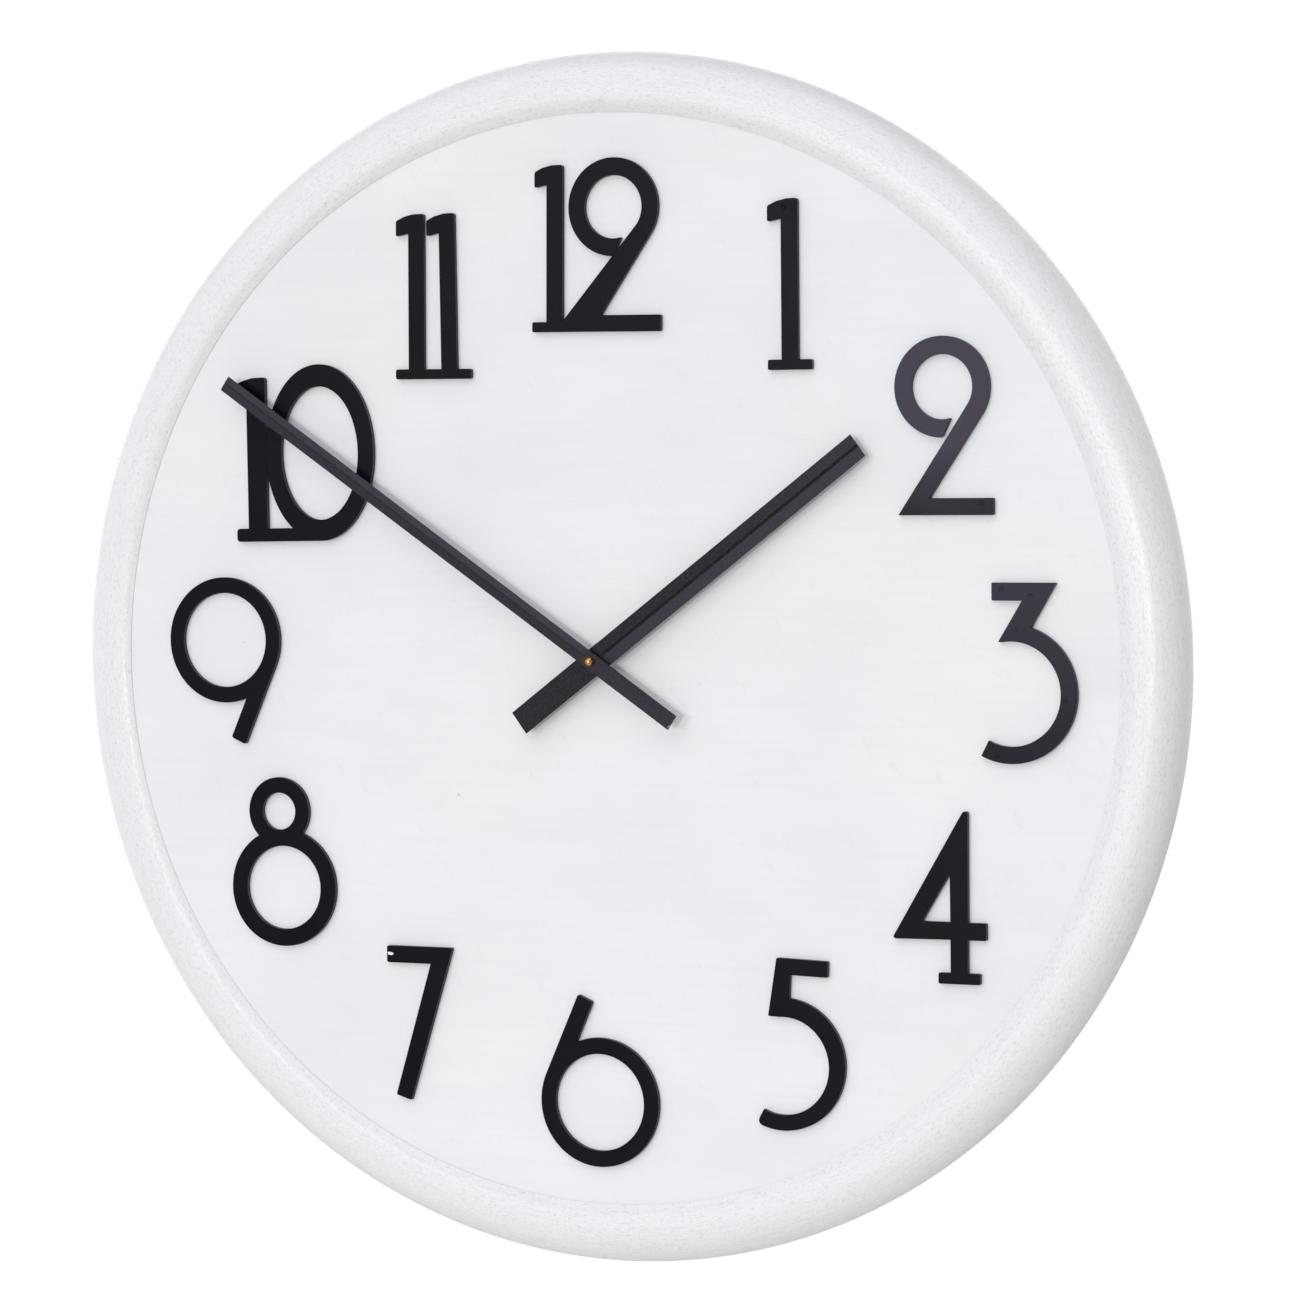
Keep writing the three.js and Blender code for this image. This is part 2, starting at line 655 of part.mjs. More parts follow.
function hangerPlate() {
  const ear = EAR_SCREW_OUT + 7;
  const flat = plate(
    [[-ear, -EAR_HIGH / 2, 3], [ear, -EAR_HIGH / 2, 3], [ear, EAR_HIGH / 2, 3], [-ear, EAR_HIGH / 2, 3]],
    PLATE_FRONT,
    PLATE_THICK,
  );
  const spine = plate(
    [[-HANGER_WIDE / 2, -14, 3], [HANGER_WIDE / 2, -14, 3], [HANGER_WIDE / 2, 12], [-HANGER_WIDE / 2, 12]],
    PLATE_FRONT,
    PLATE_THICK,
  );
  const low = half + 6;
  const high = low + 9;
  const out = PLATE_FRONT - HANGER_STAND_OFF;
  const bent = new THREE.ExtrudeGeometry(
    shapeOf([
      [-PLATE_FRONT, 4],
      [-PLATE_FRONT + PLATE_THICK, 4],
      [-PLATE_FRONT + PLATE_THICK, low],
      [-out + PLATE_THICK, high],
      [-out + PLATE_THICK, HANGER_TOP],
      [-out, HANGER_TOP],
      [-out, high],
      [-PLATE_FRONT, low + 1],
    ]),
    { depth: HANGER_WIDE, bevelEnabled: false },
  );
  bent.applyMatrix4(new THREE.Matrix4().set(0, 0, 1, -HANGER_WIDE / 2, 1, 0, 0, 0, 0, 1, 0, 0, 0, 0, 0, 1));
  const slotTop = KEYHOLE_AT + KEYHOLE_SLOT;
  const neck = (Math.acos(KEYHOLE_SLOT_RADIUS / KEYHOLE_RADIUS) * 180) / Math.PI;
  const keyhole = [
    ...arc(0, KEYHOLE_AT, KEYHOLE_RADIUS, 180 - neck, 360 + neck, KEYHOLE_RADIUS, 25),
    ...arc(0, slotTop, KEYHOLE_SLOT_RADIUS, 0, 180, KEYHOLE_SLOT_RADIUS, 36),
  ];
  return cut(
    join(flat, spine, bent),
    plate(keyhole, out + 4, 10),
    peg(0, 0, BUSH_RADIUS + FIT, PLATE_FRONT + 2, 6, 20),
    ...screwPlaces.map(([x, z]) => peg(x, z, SCREW_RADIUS + FIT, PLATE_FRONT + 2, 6)),
  );
}
piece("hanger_plate", FINISH.zinc, hangerPlate());

screwPlaces.forEach(([x, z], i) => {
  const seat = PLATE_FRONT - PLATE_THICK - SEAT;
  const shank = peg(x, z, SCREW_RADIUS, DIAL_BACK + SCREW_LONG - 1, SCREW_LONG + 2, 8);
  const head = peg(x, z, SCREW_RADIUS * 2, seat, 1.8, 12);
  piece(`hanger_screw_${i + 1}`, FINISH.zinc, join(shank, head));
});

// ================================================================ movement case
const tube = (inner, outer, front, back, facets = 16) =>
  turned([[inner, front], [outer, front], [outer, back], [inner, back]], facets);

const BAY_CLEAR = 0.3;
const bayFloor = -half + CASE_WALL;
const bayTop = bayFloor + 2 * (CELL_RADIUS + BAY_CLEAR);
const partitionTop = bayTop + CASE_WALL;
const cellHeight = bayFloor + CELL_RADIUS + BAY_CLEAR;
const cellOff = CASE_INNER - BAY_CLEAR - CELL_RADIUS;

// Axes of the off-centre gears.
const motionApart = centres(CANNON_TEETH, MINUTE_WHEEL_TEETH, MOTION_MODULE);
const MINUTE_WHEEL_DIRECTION = 45;
const SETTING_DIRECTION = 0;
const minuteWheelAxis = step([0, 0], motionApart, MINUTE_WHEEL_DIRECTION);
const settingApart = centres(MINUTE_WHEEL_TEETH, SETTING_TEETH, MOTION_MODULE);
const settingAxis = step(minuteWheelAxis, settingApart, SETTING_DIRECTION);
const THIRD_DIRECTION = 180;
const thirdAxis = step([0, 0], centres(CENTRE_TEETH, THIRD_PINION_TEETH, CENTRE_MODULE), THIRD_DIRECTION);
const INTERMEDIATE_DIRECTION = 90;
const intermediateApart = centres(SECONDS_TEETH, INTERMEDIATE_PINION_TEETH, TRAIN_MODULE);
const intermediateAxis = step([0, 0], intermediateApart, INTERMEDIATE_DIRECTION);
const ROTOR_DIRECTION = 90;
const rotorAxis = step(
  intermediateAxis,
  centres(INTERMEDIATE_TEETH, ROTOR_TEETH, ROTOR_MODULE),
  ROTOR_DIRECTION,
);

const SETTING_SHAFT_RADIUS = 1.2;
const PIVOT_RADIUS = 0.5;

function movementCase() {
  const rounded = (side, corner) => [
    [-side, -side, corner],
    [side, -side, corner],
    [side, side, corner],
    [-side, side, corner],
  ];
  const inside = half - CASE_WALL;
  const shell = plate(rounded(half, 2), CASE_FRONT, CASE_DEEP);
  const works = block(-inside, inside, partitionTop, inside, CASE_INNER, CASE_DEEP);
  const bay = block(-inside, inside, bayFloor, bayTop, CASE_INNER, CASE_DEEP);
  const coverSeat = block(-half - 1, half + 1, partitionTop - CASE_WALL / 2, half + 1, COVER_FRONT + SEAT, 5);
  return cut(shell, works, bay, coverSeat, peg(0, 0, BUSH_RADIUS + 0.05, CASE_FRONT + 1, 5, 20));
}
piece("movement_case", FINISH.blackPlastic, movementCase());

piece(
  "movement_cover",
  FINISH.greyPlastic,
  plate(
    [
      [-half, partitionTop - CASE_WALL / 2 + SEAT],
      [half, partitionTop - CASE_WALL / 2 + SEAT],
      [half, half, 2],
      [-half, half, 2],
    ],
    COVER_FRONT,
    COVER_THICK,
    [ring(...settingAxis, SETTING_SHAFT_RADIUS + RUN, 12)],
  ),
);

// The bush ends just below the dial's face, so that only the hands show in front.
const bushFront = DIAL_OFF_WALL - 0.4;
const bushBore = HOUR_TUBE_RADIUS + RUN;
piece("mount_bush", FINISH.brass, tube(bushBore, BUSH_RADIUS, bushFront, CASE_INNER));

function hexNut() {
  return plate(ring(0, 0, NUT_CORNER, 6), DIAL_BACK + NUT_THICK, NUT_THICK, [ring(0, 0, BUSH_RADIUS + 0.1, 20)]);
}
piece("bush_nut", FINISH.brass, hexNut());
piece(
  "rubber_washer",
  FINISH.rubber,
  tube(BUSH_RADIUS + FIT, 11, WASHER_FRONT, WASHER_FRONT - WASHER_THICK),
);

// ================================================================ battery
function batteryCell() {
  const long = CELL_LONG / 2;
  const profile = [
    [0, -long],
    [CELL_RADIUS - 0.6, -long],
    [CELL_RADIUS, -long + 0.6],
    [CELL_RADIUS, long - 1.9],
    [CELL_RADIUS - 0.7, long - 1.2],
    [2.7, long - 1.2],
    [2.5, long],
    [0, long],
  ].map(([r, at]) => new THREE.Vector2(r, at));
  return new THREE.LatheGeometry(profile, 16).rotateZ(-Math.PI / 2).translate(0, -cellOff, cellHeight);
}
piece("battery_cell", FINISH.cell, batteryCell());

// Sprung contact strips at the two ends of the bay, positive at the cell's button end.
function contact(side) {
  const wall = half - CASE_WALL - SEAT;
  const reach = wall - CELL_LONG / 2 - SEAT;
  const strip = block(0, 0.4, cellHeight - 4, cellHeight + 4, cellOff + 6, 12);
  const nose = block(0.2, reach, cellHeight - 1.5, cellHeight + 1.5, cellOff + 1.5, 3);
  const made = join(strip, nose);
  if (side > 0) made.rotateY(Math.PI).translate(0, 0, 2 * cellHeight);
  return made.translate(side > 0 ? wall : -wall, 0, 0);
}
piece("contact_negative", FINISH.zinc, contact(-1));
piece("contact_positive", FINISH.zinc, contact(1));

// ================================================================ motion work
const hourDisc = CASE_INNER - 0.3;
const cannonFront = hourDisc - 1.4;
const minuteDisc = cannonFront - 0.5;
const trainPlate = minuteDisc - 1.9;
const centreDisc = trainPlate - 1.4;

const cannonPhase = 9;
const minuteWheelPhase = meshPhase(CANNON_TEETH, cannonPhase, MINUTE_WHEEL_DIRECTION, MINUTE_WHEEL_TEETH);
const hourWheelPhase = meshPhase(MINUTE_PINION_TEETH, 0, MINUTE_WHEEL_DIRECTION + 180, HOUR_WHEEL_TEETH);
const settingPhase = meshPhase(MINUTE_WHEEL_TEETH, minuteWheelPhase, SETTING_DIRECTION, SETTING_TEETH);

const hourColletFront = HOUR_HAND.front + SEAT;
const minuteColletFront = MINUTE_HAND.front + SEAT;
const nutBack = minuteColletFront + SEAT;

piece(
  "hour_wheel",
  FINISH.gearPlastic,
  cut(
    join(
      plate(gear(HOUR_WHEEL_TEETH, MOTION_MODULE, hourWheelPhase), hourDisc, 1),
      tube(1, HOUR_TUBE_RADIUS, hourColletFront + 0.3, hourDisc - 0.5, 16),
    ),
    peg(0, 0, HOUR_TUBE_RADIUS - HOUR_TUBE_WALL, 60, 60, 16),
  ),
);

piece(
  "cannon_pinion",
  FINISH.zinc,
  join(
    plate(gear(CANNON_TEETH, MOTION_MODULE, cannonPhase), cannonFront, 1.8),
    peg(0, 0, MINUTE_ARBOR_RADIUS, minuteColletFront, minuteColletFront - cannonFront + 0.5, 16),
    peg(0, 0, MINUTE_THREAD_RADIUS, nutBack + 2.2, 3, 12),
    peg(0, 0, 1, cannonFront - 1, cannonFront - centreDisc, 10),
  ),
);

piece(
  "minute_wheel",
  FINISH.gearPlastic,
  join(
    plate(gear(MINUTE_WHEEL_TEETH, MOTION_MODULE, minuteWheelPhase, ...minuteWheelAxis), minuteDisc, 1),
    plate(gear(MINUTE_PINION_TEETH, MOTION_MODULE, 0, ...minuteWheelAxis), hourDisc, hourDisc - minuteDisc + 0.3),
    peg(...minuteWheelAxis, PIVOT_RADIUS, minuteDisc - 0.5, 2, 8),
  ),
);

function settingKnob() {
  const knob = [];
  for (let i = 0; i < 36; i += 1) knob.push(polar(i % 2 ? 6 : 5.6, i * 10));
  const [x, z] = settingAxis;
  return join(
    plate(gear(SETTING_TEETH, MOTION_MODULE, settingPhase, x, z), minuteDisc + 0.3, 1.6),
    peg(x, z, SETTING_SHAFT_RADIUS, minuteDisc, minuteDisc - CASE_BACK + 1, 12),
    plate(knob.map(([kx, kz]) => [kx + x, kz + z]), CASE_BACK - 0.4, 4),
  );
}
piece("setting_knob", FINISH.greyPlastic, settingKnob());

piece(
  "train_plate",
  FINISH.greyPlastic,
  plate(
    [
      [-half + 2, partitionTop + 0.5, 1],
      [half - 2, partitionTop + 0.5, 1],
      [half - 2, half - 2, 1],
      [-half + 2, half - 2, 1],
    ],
    trainPlate,
    0.8,
    [
      ring(0, 0, 1 + RUN, 10),
      ring(...minuteWheelAxis, PIVOT_RADIUS + RUN, 8),
      ring(...settingAxis, SETTING_SHAFT_RADIUS + RUN, 12),
    ],
  ),
);

// ================================================================ going train
const ROTOR_SHAKE = 0.7; // from the end of an arbor to the cover
const SECONDS_SHAKE = 1.1;
const thirdDisc = centreDisc - 3.2;
const secondsDisc = thirdDisc - 1.8;
const intermediateDisc = secondsDisc - 1.3;

const centrePhase = 0;
const thirdPinionPhase = meshPhase(CENTRE_TEETH, centrePhase, THIRD_DIRECTION, THIRD_PINION_TEETH);
const secondsPinionPhase = meshPhase(THIRD_TEETH, 0, THIRD_DIRECTION + 180, SECONDS_PINION_TEETH);
const intermediatePinionPhase = meshPhase(SECONDS_TEETH, 0, INTERMEDIATE_DIRECTION, INTERMEDIATE_PINION_TEETH);
const rotorPhase = meshPhase(INTERMEDIATE_TEETH, 0, ROTOR_DIRECTION, ROTOR_TEETH);

piece(
  "centre_wheel",
  FINISH.brass,
  plate(gear(CENTRE_TEETH, CENTRE_MODULE, centrePhase, 0, 0, POINTED), centreDisc, 0.7, [
    ring(0, 0, 1 + RUN, 10),
  ]),
);
piece(
  "third_wheel",
  FINISH.gearPlastic,
  join(
    plate(gear(THIRD_TEETH, TRAIN_MODULE, 0, ...thirdAxis, POINTED), thirdDisc, 0.7),
    plate(gear(THIRD_PINION_TEETH, CENTRE_MODULE, thirdPinionPhase, ...thirdAxis), centreDisc + 0.3, 3.7),
    peg(...thirdAxis, PIVOT_RADIUS, thirdDisc - 0.4, 2.5, 8),
  ),
);
piece(
  "seconds_wheel",
  FINISH.gearPlastic,
  join(
    plate(gear(SECONDS_TEETH, TRAIN_MODULE, 0, 0, 0, POINTED), secondsDisc, 0.7),
    plate(gear(SECONDS_PINION_TEETH, TRAIN_MODULE, secondsPinionPhase), thirdDisc + 0.3, 2.3),
    peg(0, 0, PIVOT_RADIUS, secondsDisc - 0.3, secondsDisc - 0.3 - COVER_FRONT - SECONDS_SHAKE, 8),
  ),
);
piece(
  "intermediate_wheel",
  FINISH.gearPlastic,
  join(
    plate(gear(INTERMEDIATE_TEETH, ROTOR_MODULE, 0, ...intermediateAxis, POINTED), intermediateDisc, 0.6),
    plate(
      gear(INTERMEDIATE_PINION_TEETH, TRAIN_MODULE, intermediatePinionPhase, ...intermediateAxis),
      secondsDisc + 0.2,
      secondsDisc - intermediateDisc + 0.4,
    ),
  ),
);

const ROTOR_RADIUS = 2.2;
const rotorFront = intermediateDisc + 4.2;
piece(
  "rotor",
  FINISH.zinc,
  join(
    plate(gear(ROTOR_TEETH, ROTOR_MODULE, rotorPhase, ...rotorAxis), intermediateDisc + 0.3, 1.1),
    peg(...rotorAxis, ROTOR_RADIUS, rotorFront, 2, 16),
    peg(...rotorAxis, 0.45, rotorFront - 1, rotorFront - 1 - COVER_FRONT - ROTOR_SHAKE, 8),
  ),
);

// ================================================================ motor and circuit
const STATOR_THICK = 0.8;
const statorFront = rotorFront - 0.6;
const STATOR_REACH = 14;
const coilHeight = rotorAxis[1] + 7.6;
piece(
  "stator",
  FINISH.zinc,
  plate(
    [
      [-STATOR_REACH, rotorAxis[1] - 3.8],
      [STATOR_REACH, rotorAxis[1] - 3.8],
      [STATOR_REACH, coilHeight + 1.6],
      [STATOR_REACH - 3, coilHeight + 1.6],
      [STATOR_REACH - 3, rotorAxis[1] + 3.6],
      [-STATOR_REACH + 3, rotorAxis[1] + 3.6],
      [-STATOR_REACH + 3, coilHeight + 1.6],
      [-STATOR_REACH, coilHeight + 1.6],
    ],
    statorFront,
    STATOR_THICK,
    [ring(...rotorAxis, ROTOR_RADIUS + 0.5, 16)],
  ),
);

const COIL_CORE = 1.1;
const COIL_FLANGE = 1.95;
const COIL_WINDING = 1.7;
function coil() {
  const profile = [
    [0, -13.6],
    [COIL_CORE, -13.6],
    [COIL_CORE, -9.4],
    [COIL_FLANGE, -9.4],
    [COIL_FLANGE, -8.6],
    [COIL_WINDING, -8.6],
    [COIL_WINDING, 8.6],
    [COIL_FLANGE, 8.6],
    [COIL_FLANGE, 9.4],
    [COIL_CORE, 9.4],
    [COIL_CORE, 13.6],
    [0, 13.6],
  ].map(([r, at]) => new THREE.Vector2(r, at));
  const off = statorFront + COIL_CORE + SEAT;
  return new THREE.LatheGeometry(profile, 12).rotateZ(-Math.PI / 2).translate(0, -off, coilHeight);
}
piece("coil", FINISH.copper, coil());

const boardFront = secondsDisc + 0.6;
piece("circuit_board", FINISH.board, block(11, half - 2, partitionTop + 1, 4, boardFront, 0.8));
const onBoard = boardFront - 0.8 - SEAT;
piece("driver_chip", FINISH.blackPlastic, block(13.5, 18, -7.5, -3.5, onBoard, 0.9));
piece(
  "quartz_crystal",
  FINISH.zinc,
  new THREE.CylinderGeometry(0.9, 0.9, 5, 10).rotateZ(Math.PI / 2).translate(20.5, -(onBoard - 0.9), 1.5),
);

// ================================================================ hands
function hand({ width, tip, tail, thick, front }, hole) {
  const side = width / 2;
  const bar = block(-side, side, -tail, tip, front, thick);
  const groove = new THREE.ExtrudeGeometry(
    shapeOf([[-HAND_GROOVE_WIDE / 2, -0.2], [HAND_GROOVE_WIDE / 2, -0.2], [0, HAND_GROOVE_DEEP]]),
    { depth: tip, bevelEnabled: false },
  );
  groove.translate(0, -front, HAND_GROOVE_START);
  return cut(bar, groove, peg(0, 0, hole, front + 1, thick + 2, 16));
}

function collet(radius, bore, front, back) {
  const spigot = radius - COLLET_STEP;
  const shoulder = front - SEAT - 1 - SEAT;
  return turned(
    [[bore, front], [spigot, front], [spigot, shoulder], [radius, shoulder], [radius, back], [bore, back]],
    16,
  );
}

const hourBack = HOUR_HAND.front - 5.2;
const minuteBack = MINUTE_HAND.front - 3.6;
piece("hour_collet", FINISH.brass, collet(HOUR_COLLET_RADIUS, HOUR_TUBE_RADIUS + 0.05, hourColletFront, hourBack));
piece(
  "minute_collet",
  FINISH.brass,
  collet(MINUTE_COLLET_RADIUS, MINUTE_ARBOR_RADIUS + 0.05, minuteColletFront, minuteBack),
);

const hourHole = HOUR_COLLET_RADIUS - COLLET_STEP + 0.1;
const minuteHole = MINUTE_COLLET_RADIUS - COLLET_STEP + 0.1;
piece("hour_hand", FINISH.handBlack, hand(HOUR_HAND, hourHole)).rotation.y = rad(HOUR_HAND.angle);
piece("minute_hand", FINISH.handBlack, hand(MINUTE_HAND, minuteHole)).rotation.y = rad(MINUTE_HAND.angle);

function capNut() {
  const dome = nutBack + CAP_NUT_LONG - CAP_NUT_RADIUS;
  return turned(
    [
      [MINUTE_THREAD_RADIUS + 0.1, nutBack],
      [CAP_NUT_RADIUS, nutBack],
      ...arc(0, dome, CAP_NUT_RADIUS, 0, 90, CAP_NUT_RADIUS, 22.5),
      [0, nutBack + 2.5],
      [MINUTE_THREAD_RADIUS + 0.1, nutBack + 2.5],
    ],
    16,
  );
}
piece("cap_nut", FINISH.brass, capNut());

export default clock;
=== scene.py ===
import math

import bmesh
import bpy
from bpy.props import FloatProperty, FloatVectorProperty, PointerProperty
from mathutils import Matrix, Vector


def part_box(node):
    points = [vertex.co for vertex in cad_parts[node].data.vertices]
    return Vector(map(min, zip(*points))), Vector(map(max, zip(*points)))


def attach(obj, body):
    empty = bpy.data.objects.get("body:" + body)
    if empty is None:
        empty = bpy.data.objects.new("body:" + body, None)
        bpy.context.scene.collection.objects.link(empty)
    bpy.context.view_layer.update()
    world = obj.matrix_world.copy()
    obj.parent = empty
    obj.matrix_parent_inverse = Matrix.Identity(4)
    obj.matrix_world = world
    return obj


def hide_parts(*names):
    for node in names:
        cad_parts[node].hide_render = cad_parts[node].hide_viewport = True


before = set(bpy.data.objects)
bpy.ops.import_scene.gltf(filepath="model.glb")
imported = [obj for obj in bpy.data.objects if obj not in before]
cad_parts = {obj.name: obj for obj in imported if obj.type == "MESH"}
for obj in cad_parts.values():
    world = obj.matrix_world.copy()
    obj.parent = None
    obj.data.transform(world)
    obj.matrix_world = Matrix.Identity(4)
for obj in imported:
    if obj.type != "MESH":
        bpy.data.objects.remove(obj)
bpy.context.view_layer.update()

bl_info = {
    "name": "Whitewashed Wall Clock",
    "version": (1, 0, 0),
    "blender": (4, 5, 0),
    "location": "View3D > Sidebar > Clock",
    "description": "Builds the rim, dial, numerals, hands and movement of a large wall clock",
    "category": "Object",
}

MM = 0.001

# ------------------------------------------------------------------ sizes from the frame
# Lengths are in millimetres. "Off the wall" is a distance in front of the wall plane.


def off_wall(node):
    """(front, back) of a CAD node, in millimetres off the wall."""
    low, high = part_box(node)
    return -low.y / MM, -high.y / MM


def radius_of(node):
    """Largest reach of a CAD node from the clock's axis along X, in millimetres."""
    low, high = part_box(node)
    return max(high.x, -low.x) / MM


RIM_FRONT, RIM_BACK = off_wall("rim")
DIAL_FRONT, DIAL_BACK = off_wall("dial_panel")
FIGURE_FRONT = off_wall("numeral_4")[0]
FIGURE_BACK = DIAL_FRONT + 0.3
HOUR_FRONT, HOUR_BACK = off_wall("hour_hand")
MINUTE_FRONT, MINUTE_BACK = off_wall("minute_hand")
CASE_FRONT, CASE_BACK = off_wall("movement_case")
COVER_FRONT, COVER_BACK = off_wall("movement_cover")
PLATE_FRONT = off_wall("hanger_plate")[0]
PAD_FRONT = off_wall("wall_pad_1")[0]
CASE_HALF = radius_of("movement_case")
CASE_WALL = 1.4
PLATE_THICK = 1.2
HOUR_ANGLE, HOUR_TIP, HOUR_TAIL = 53.2, 205, 61  # clockwise from 12, and reach from the axis
MINUTE_ANGLE, MINUTE_TIP, MINUTE_TAIL = 304.2, 290.5, 61.5
CLIP_ANGLES = (47.5, 137.5, 227.5, 317.5)
RIM_WIDEST = 18.5  # off the wall, where the rim is widest
RIM_CREST, RIM_REBATE = 329, 320.6
RIM_SIDES = 72  # the frame's rim is a ring of this many flats
CLIP_SCREW_OFF = 14  # off the wall
KEYHOLE_UP, KEYHOLE_RADIUS, SLOT_UP, SLOT_RADIUS = 56, 4.6, 65, 2.6
EAR_SCREWS = (-34, 34)  # the hanger screws, along X
CELL_RADIUS = 7.1
BAY_FLOOR = -CASE_HALF + CASE_WALL  # the cell's bay, along Z
BAY_TOP = BAY_FLOOR + 2 * (CELL_RADIUS + 0.3)
WORKS_FLOOR = BAY_TOP + CASE_WALL


# ------------------------------------------------------------------ colour
def linear(hex_colour):
    """An sRGB hex colour as linear red, green and blue."""
    parts = (int(hex_colour[i : i + 2], 16) / 255 for i in (1, 3, 5))
    return tuple(c / 12.92 if c <= 0.04045 else ((c + 0.055) / 1.055) ** 2.4 for c in parts)


def length(name, description, default):
    """A length property whose default is given in millimetres."""
    return FloatProperty(
        name=name, description=description, default=default * MM, unit="LENGTH", precision=5
    )


def colour(name, description, default):
    """A colour property whose default is given as sRGB hex."""
    return FloatVectorProperty(
        name=name, description=description, default=linear(default), subtype="COLOR", min=0, max=1
    )


class ClockSizes(bpy.types.PropertyGroup):
    """Sizes of the clock's pieces."""

    rim_radius: length("Rim radius", "Widest circle of the rim", radius_of("rim"))
    rim_crest: length("Rim crest", "Radius of the bead's highest circle", RIM_CREST)
    rim_opening: length("Rim opening", "Radius of the lip that frames the dial", 315.6)
    rim_rebate: length("Rebate", "Radius of the wall behind the lip", RIM_REBATE)
    rim_lip: length("Lip edge", "Upright edge where the slope starts", 0.06)
    dial_bore: length("Dial bore", "Radius of the hole for the bush", 4.6)
    figure_ease: length("Numeral edge", "Rounding of the numerals' front edges", 0.4)
    stroke: length("Stroke", "Width of a numeral's stroke", 10.2)
    hour_width: length("Hour hand width", "Width of the hour hand", 15)
    hour_tip: length("Hour hand length", "Axis to tip", HOUR_TIP)
    hour_tail: length("Hour hand tail", "Axis to tail end", HOUR_TAIL)
    minute_width: length("Minute hand width", "Width of the minute hand", 9.5)
    minute_tip: length("Minute hand length", "Axis to tip", MINUTE_TIP)
    minute_tail: length("Minute hand tail", "Axis to tail end", MINUTE_TAIL)
    groove: length("Groove", "Width of the groove down each hand", 1.8)
    cap_nut: length("Cap nut radius", "Radius of the domed nut", 2.4)


class ClockColours(bpy.types.PropertyGroup):
    """Colours of the clock's finishes."""

    whitewash: colour("Whitewash", "Brushed whitewash of the rim", "#e9eaed")
    whitewash_low: colour("Whitewash shade", "Thin places in the whitewash", "#c9c7c8")
    dial: colour("Dial paint", "Brushed matt paint of the dial", "#e7e9ec")
    dial_low: colour("Dial paint shade", "Thin brush marks in the dial's paint", "#dbdde1")
    figure: colour("Numeral enamel", "Satin black enamel of the numerals", "#0b0a13")
    # the cut edges' lighter colour is partly thinner enamel and partly a painted highlight where the
    # edges catch the light
    figure_edge_thin_and_glint: colour("Numeral edges", "Cut edges, where the enamel is thin", "#3f3c46")
    # the two hand colours are painted light and shade: the lighter one stands for the lit slope of a
    # hand's ridge
    hand_dark: colour("Hand paint, dark", "Black paint on the shaded slope of a hand", "#19181e")
    hand_painted_light: colour("Hand paint, light", "Black paint on the lit slope of a hand", "#302e38")
    brass: colour("Brass", "Polished brass", "#dca552")
    zinc: colour("Zinc plate", "Bright zinc plate on steel", "#b9bcc0")
    case: colour("Case plastic", "Black moulded ABS", "#1d1e20")
    cover: colour("Cover plastic", "Grey moulded ABS", "#3a3c40")
    acetal: colour("Acetal", "Natural acetal of the gears", "#e6e2d4")
    felt: colour("Felt", "Grey wool felt of the wall pads", "#5f5e5b")
    floor: colour("Floor", "Pale studio floor", "#efeeec")


# ------------------------------------------------------------------ materials
def add(tree, kind, inputs, out=0, **settings):
    """Adds a node, sets its settings, sets or links its inputs, and gives one of its outputs."""
    made = tree.nodes.new("ShaderNode" + kind)
    for key, value in settings.items():
        setattr(made, key, value)
    for socket, value in inputs.items():
        target = made.inputs[socket]
        if isinstance(value, bpy.types.NodeSocket):
            tree.links.new(value, target)
        else:
            target.default_value = (*value, 1) if target.type == "RGBA" else value
    return made.outputs[out] if made.outputs else None


def shader(name, base, roughness, metallic=0.0, ior=1.5, **sockets):
    """A material with these uniform values: its tree, its shader and object coordinates."""
    material = bpy.data.materials.new(name)
    material.use_nodes = True
    material.diffuse_color = (*base, 1)
    tree = material.node_tree
    tree.nodes.clear()
    uniform = {"Base Color": base, "Roughness": roughness, "Metallic": metallic, "IOR": ior}
    surface = add(tree, "BsdfPrincipled", {**uniform, **sockets})
    add(tree, "OutputMaterial", {"Surface": surface})
    return tree, surface.node, add(tree, "TexCoord", {}, "Object")


def layered(made, patterns, tone, layers, bumps):
    """Lays colour, roughness and relief on a shader.

    A pattern is a node's output, or a noise: its grain in millimetres along X, Y and Z, its
    detail, its roughness and its turn about Y. A layer is a pattern, a low and a high value of
    it, the amounts at those two, and a colour; without a colour the amounts are the roughness
    itself. A bump is a pattern, a depth in millimetres and a strength.
    """
    tree, surface, place = made
    fields = dict(patterns)
    for name, field in patterns.items():
        if isinstance(field, tuple):
            *grain, detail, rough, turn = field
            at = place
            if turn:
                at = add(tree, "VectorRotate", {"Vector": at, "Angle": turn}, rotation_type="Y_AXIS")
            per_grain = [1 / (mm * MM) for mm in grain]
            at = add(tree, "VectorMath", {0: at, 1: per_grain}, operation="MULTIPLY")
            fields[name] = add(
                tree, "TexNoise", {"Vector": at, "Scale": 1.0, "Detail": detail, "Roughness": rough}
            )
    for name, low, high, at_low, at_high, *colour in layers:
        span = {"From Min": low, "From Max": high, "To Min": at_low, "To Max": at_high}
        amount = add(tree, "MapRange", {"Value": fields[name], **span})
        if colour:
            tone = add(tree, "Mix", {0: amount, 6: tone, 7: colour[0]}, 2, data_type="RGBA")
        else:
            tree.links.new(amount, surface.inputs["Roughness"])
    tree.links.new(tone, surface.inputs["Base Color"])
    relief = {}
    for name, deep, strength in bumps:
        height = {"Height": fields[name], "Distance": deep * MM, "Strength": strength}
        relief = {"Normal": add(tree, "Bump", {**height, **relief})}
    tree.links.new(relief["Normal"], surface.inputs["Normal"])


def shifted(base, amount):
    """A colour made lighter or darker by a factor."""
    return tuple(max(0.0, min(1.0, c * amount)) for c in base)


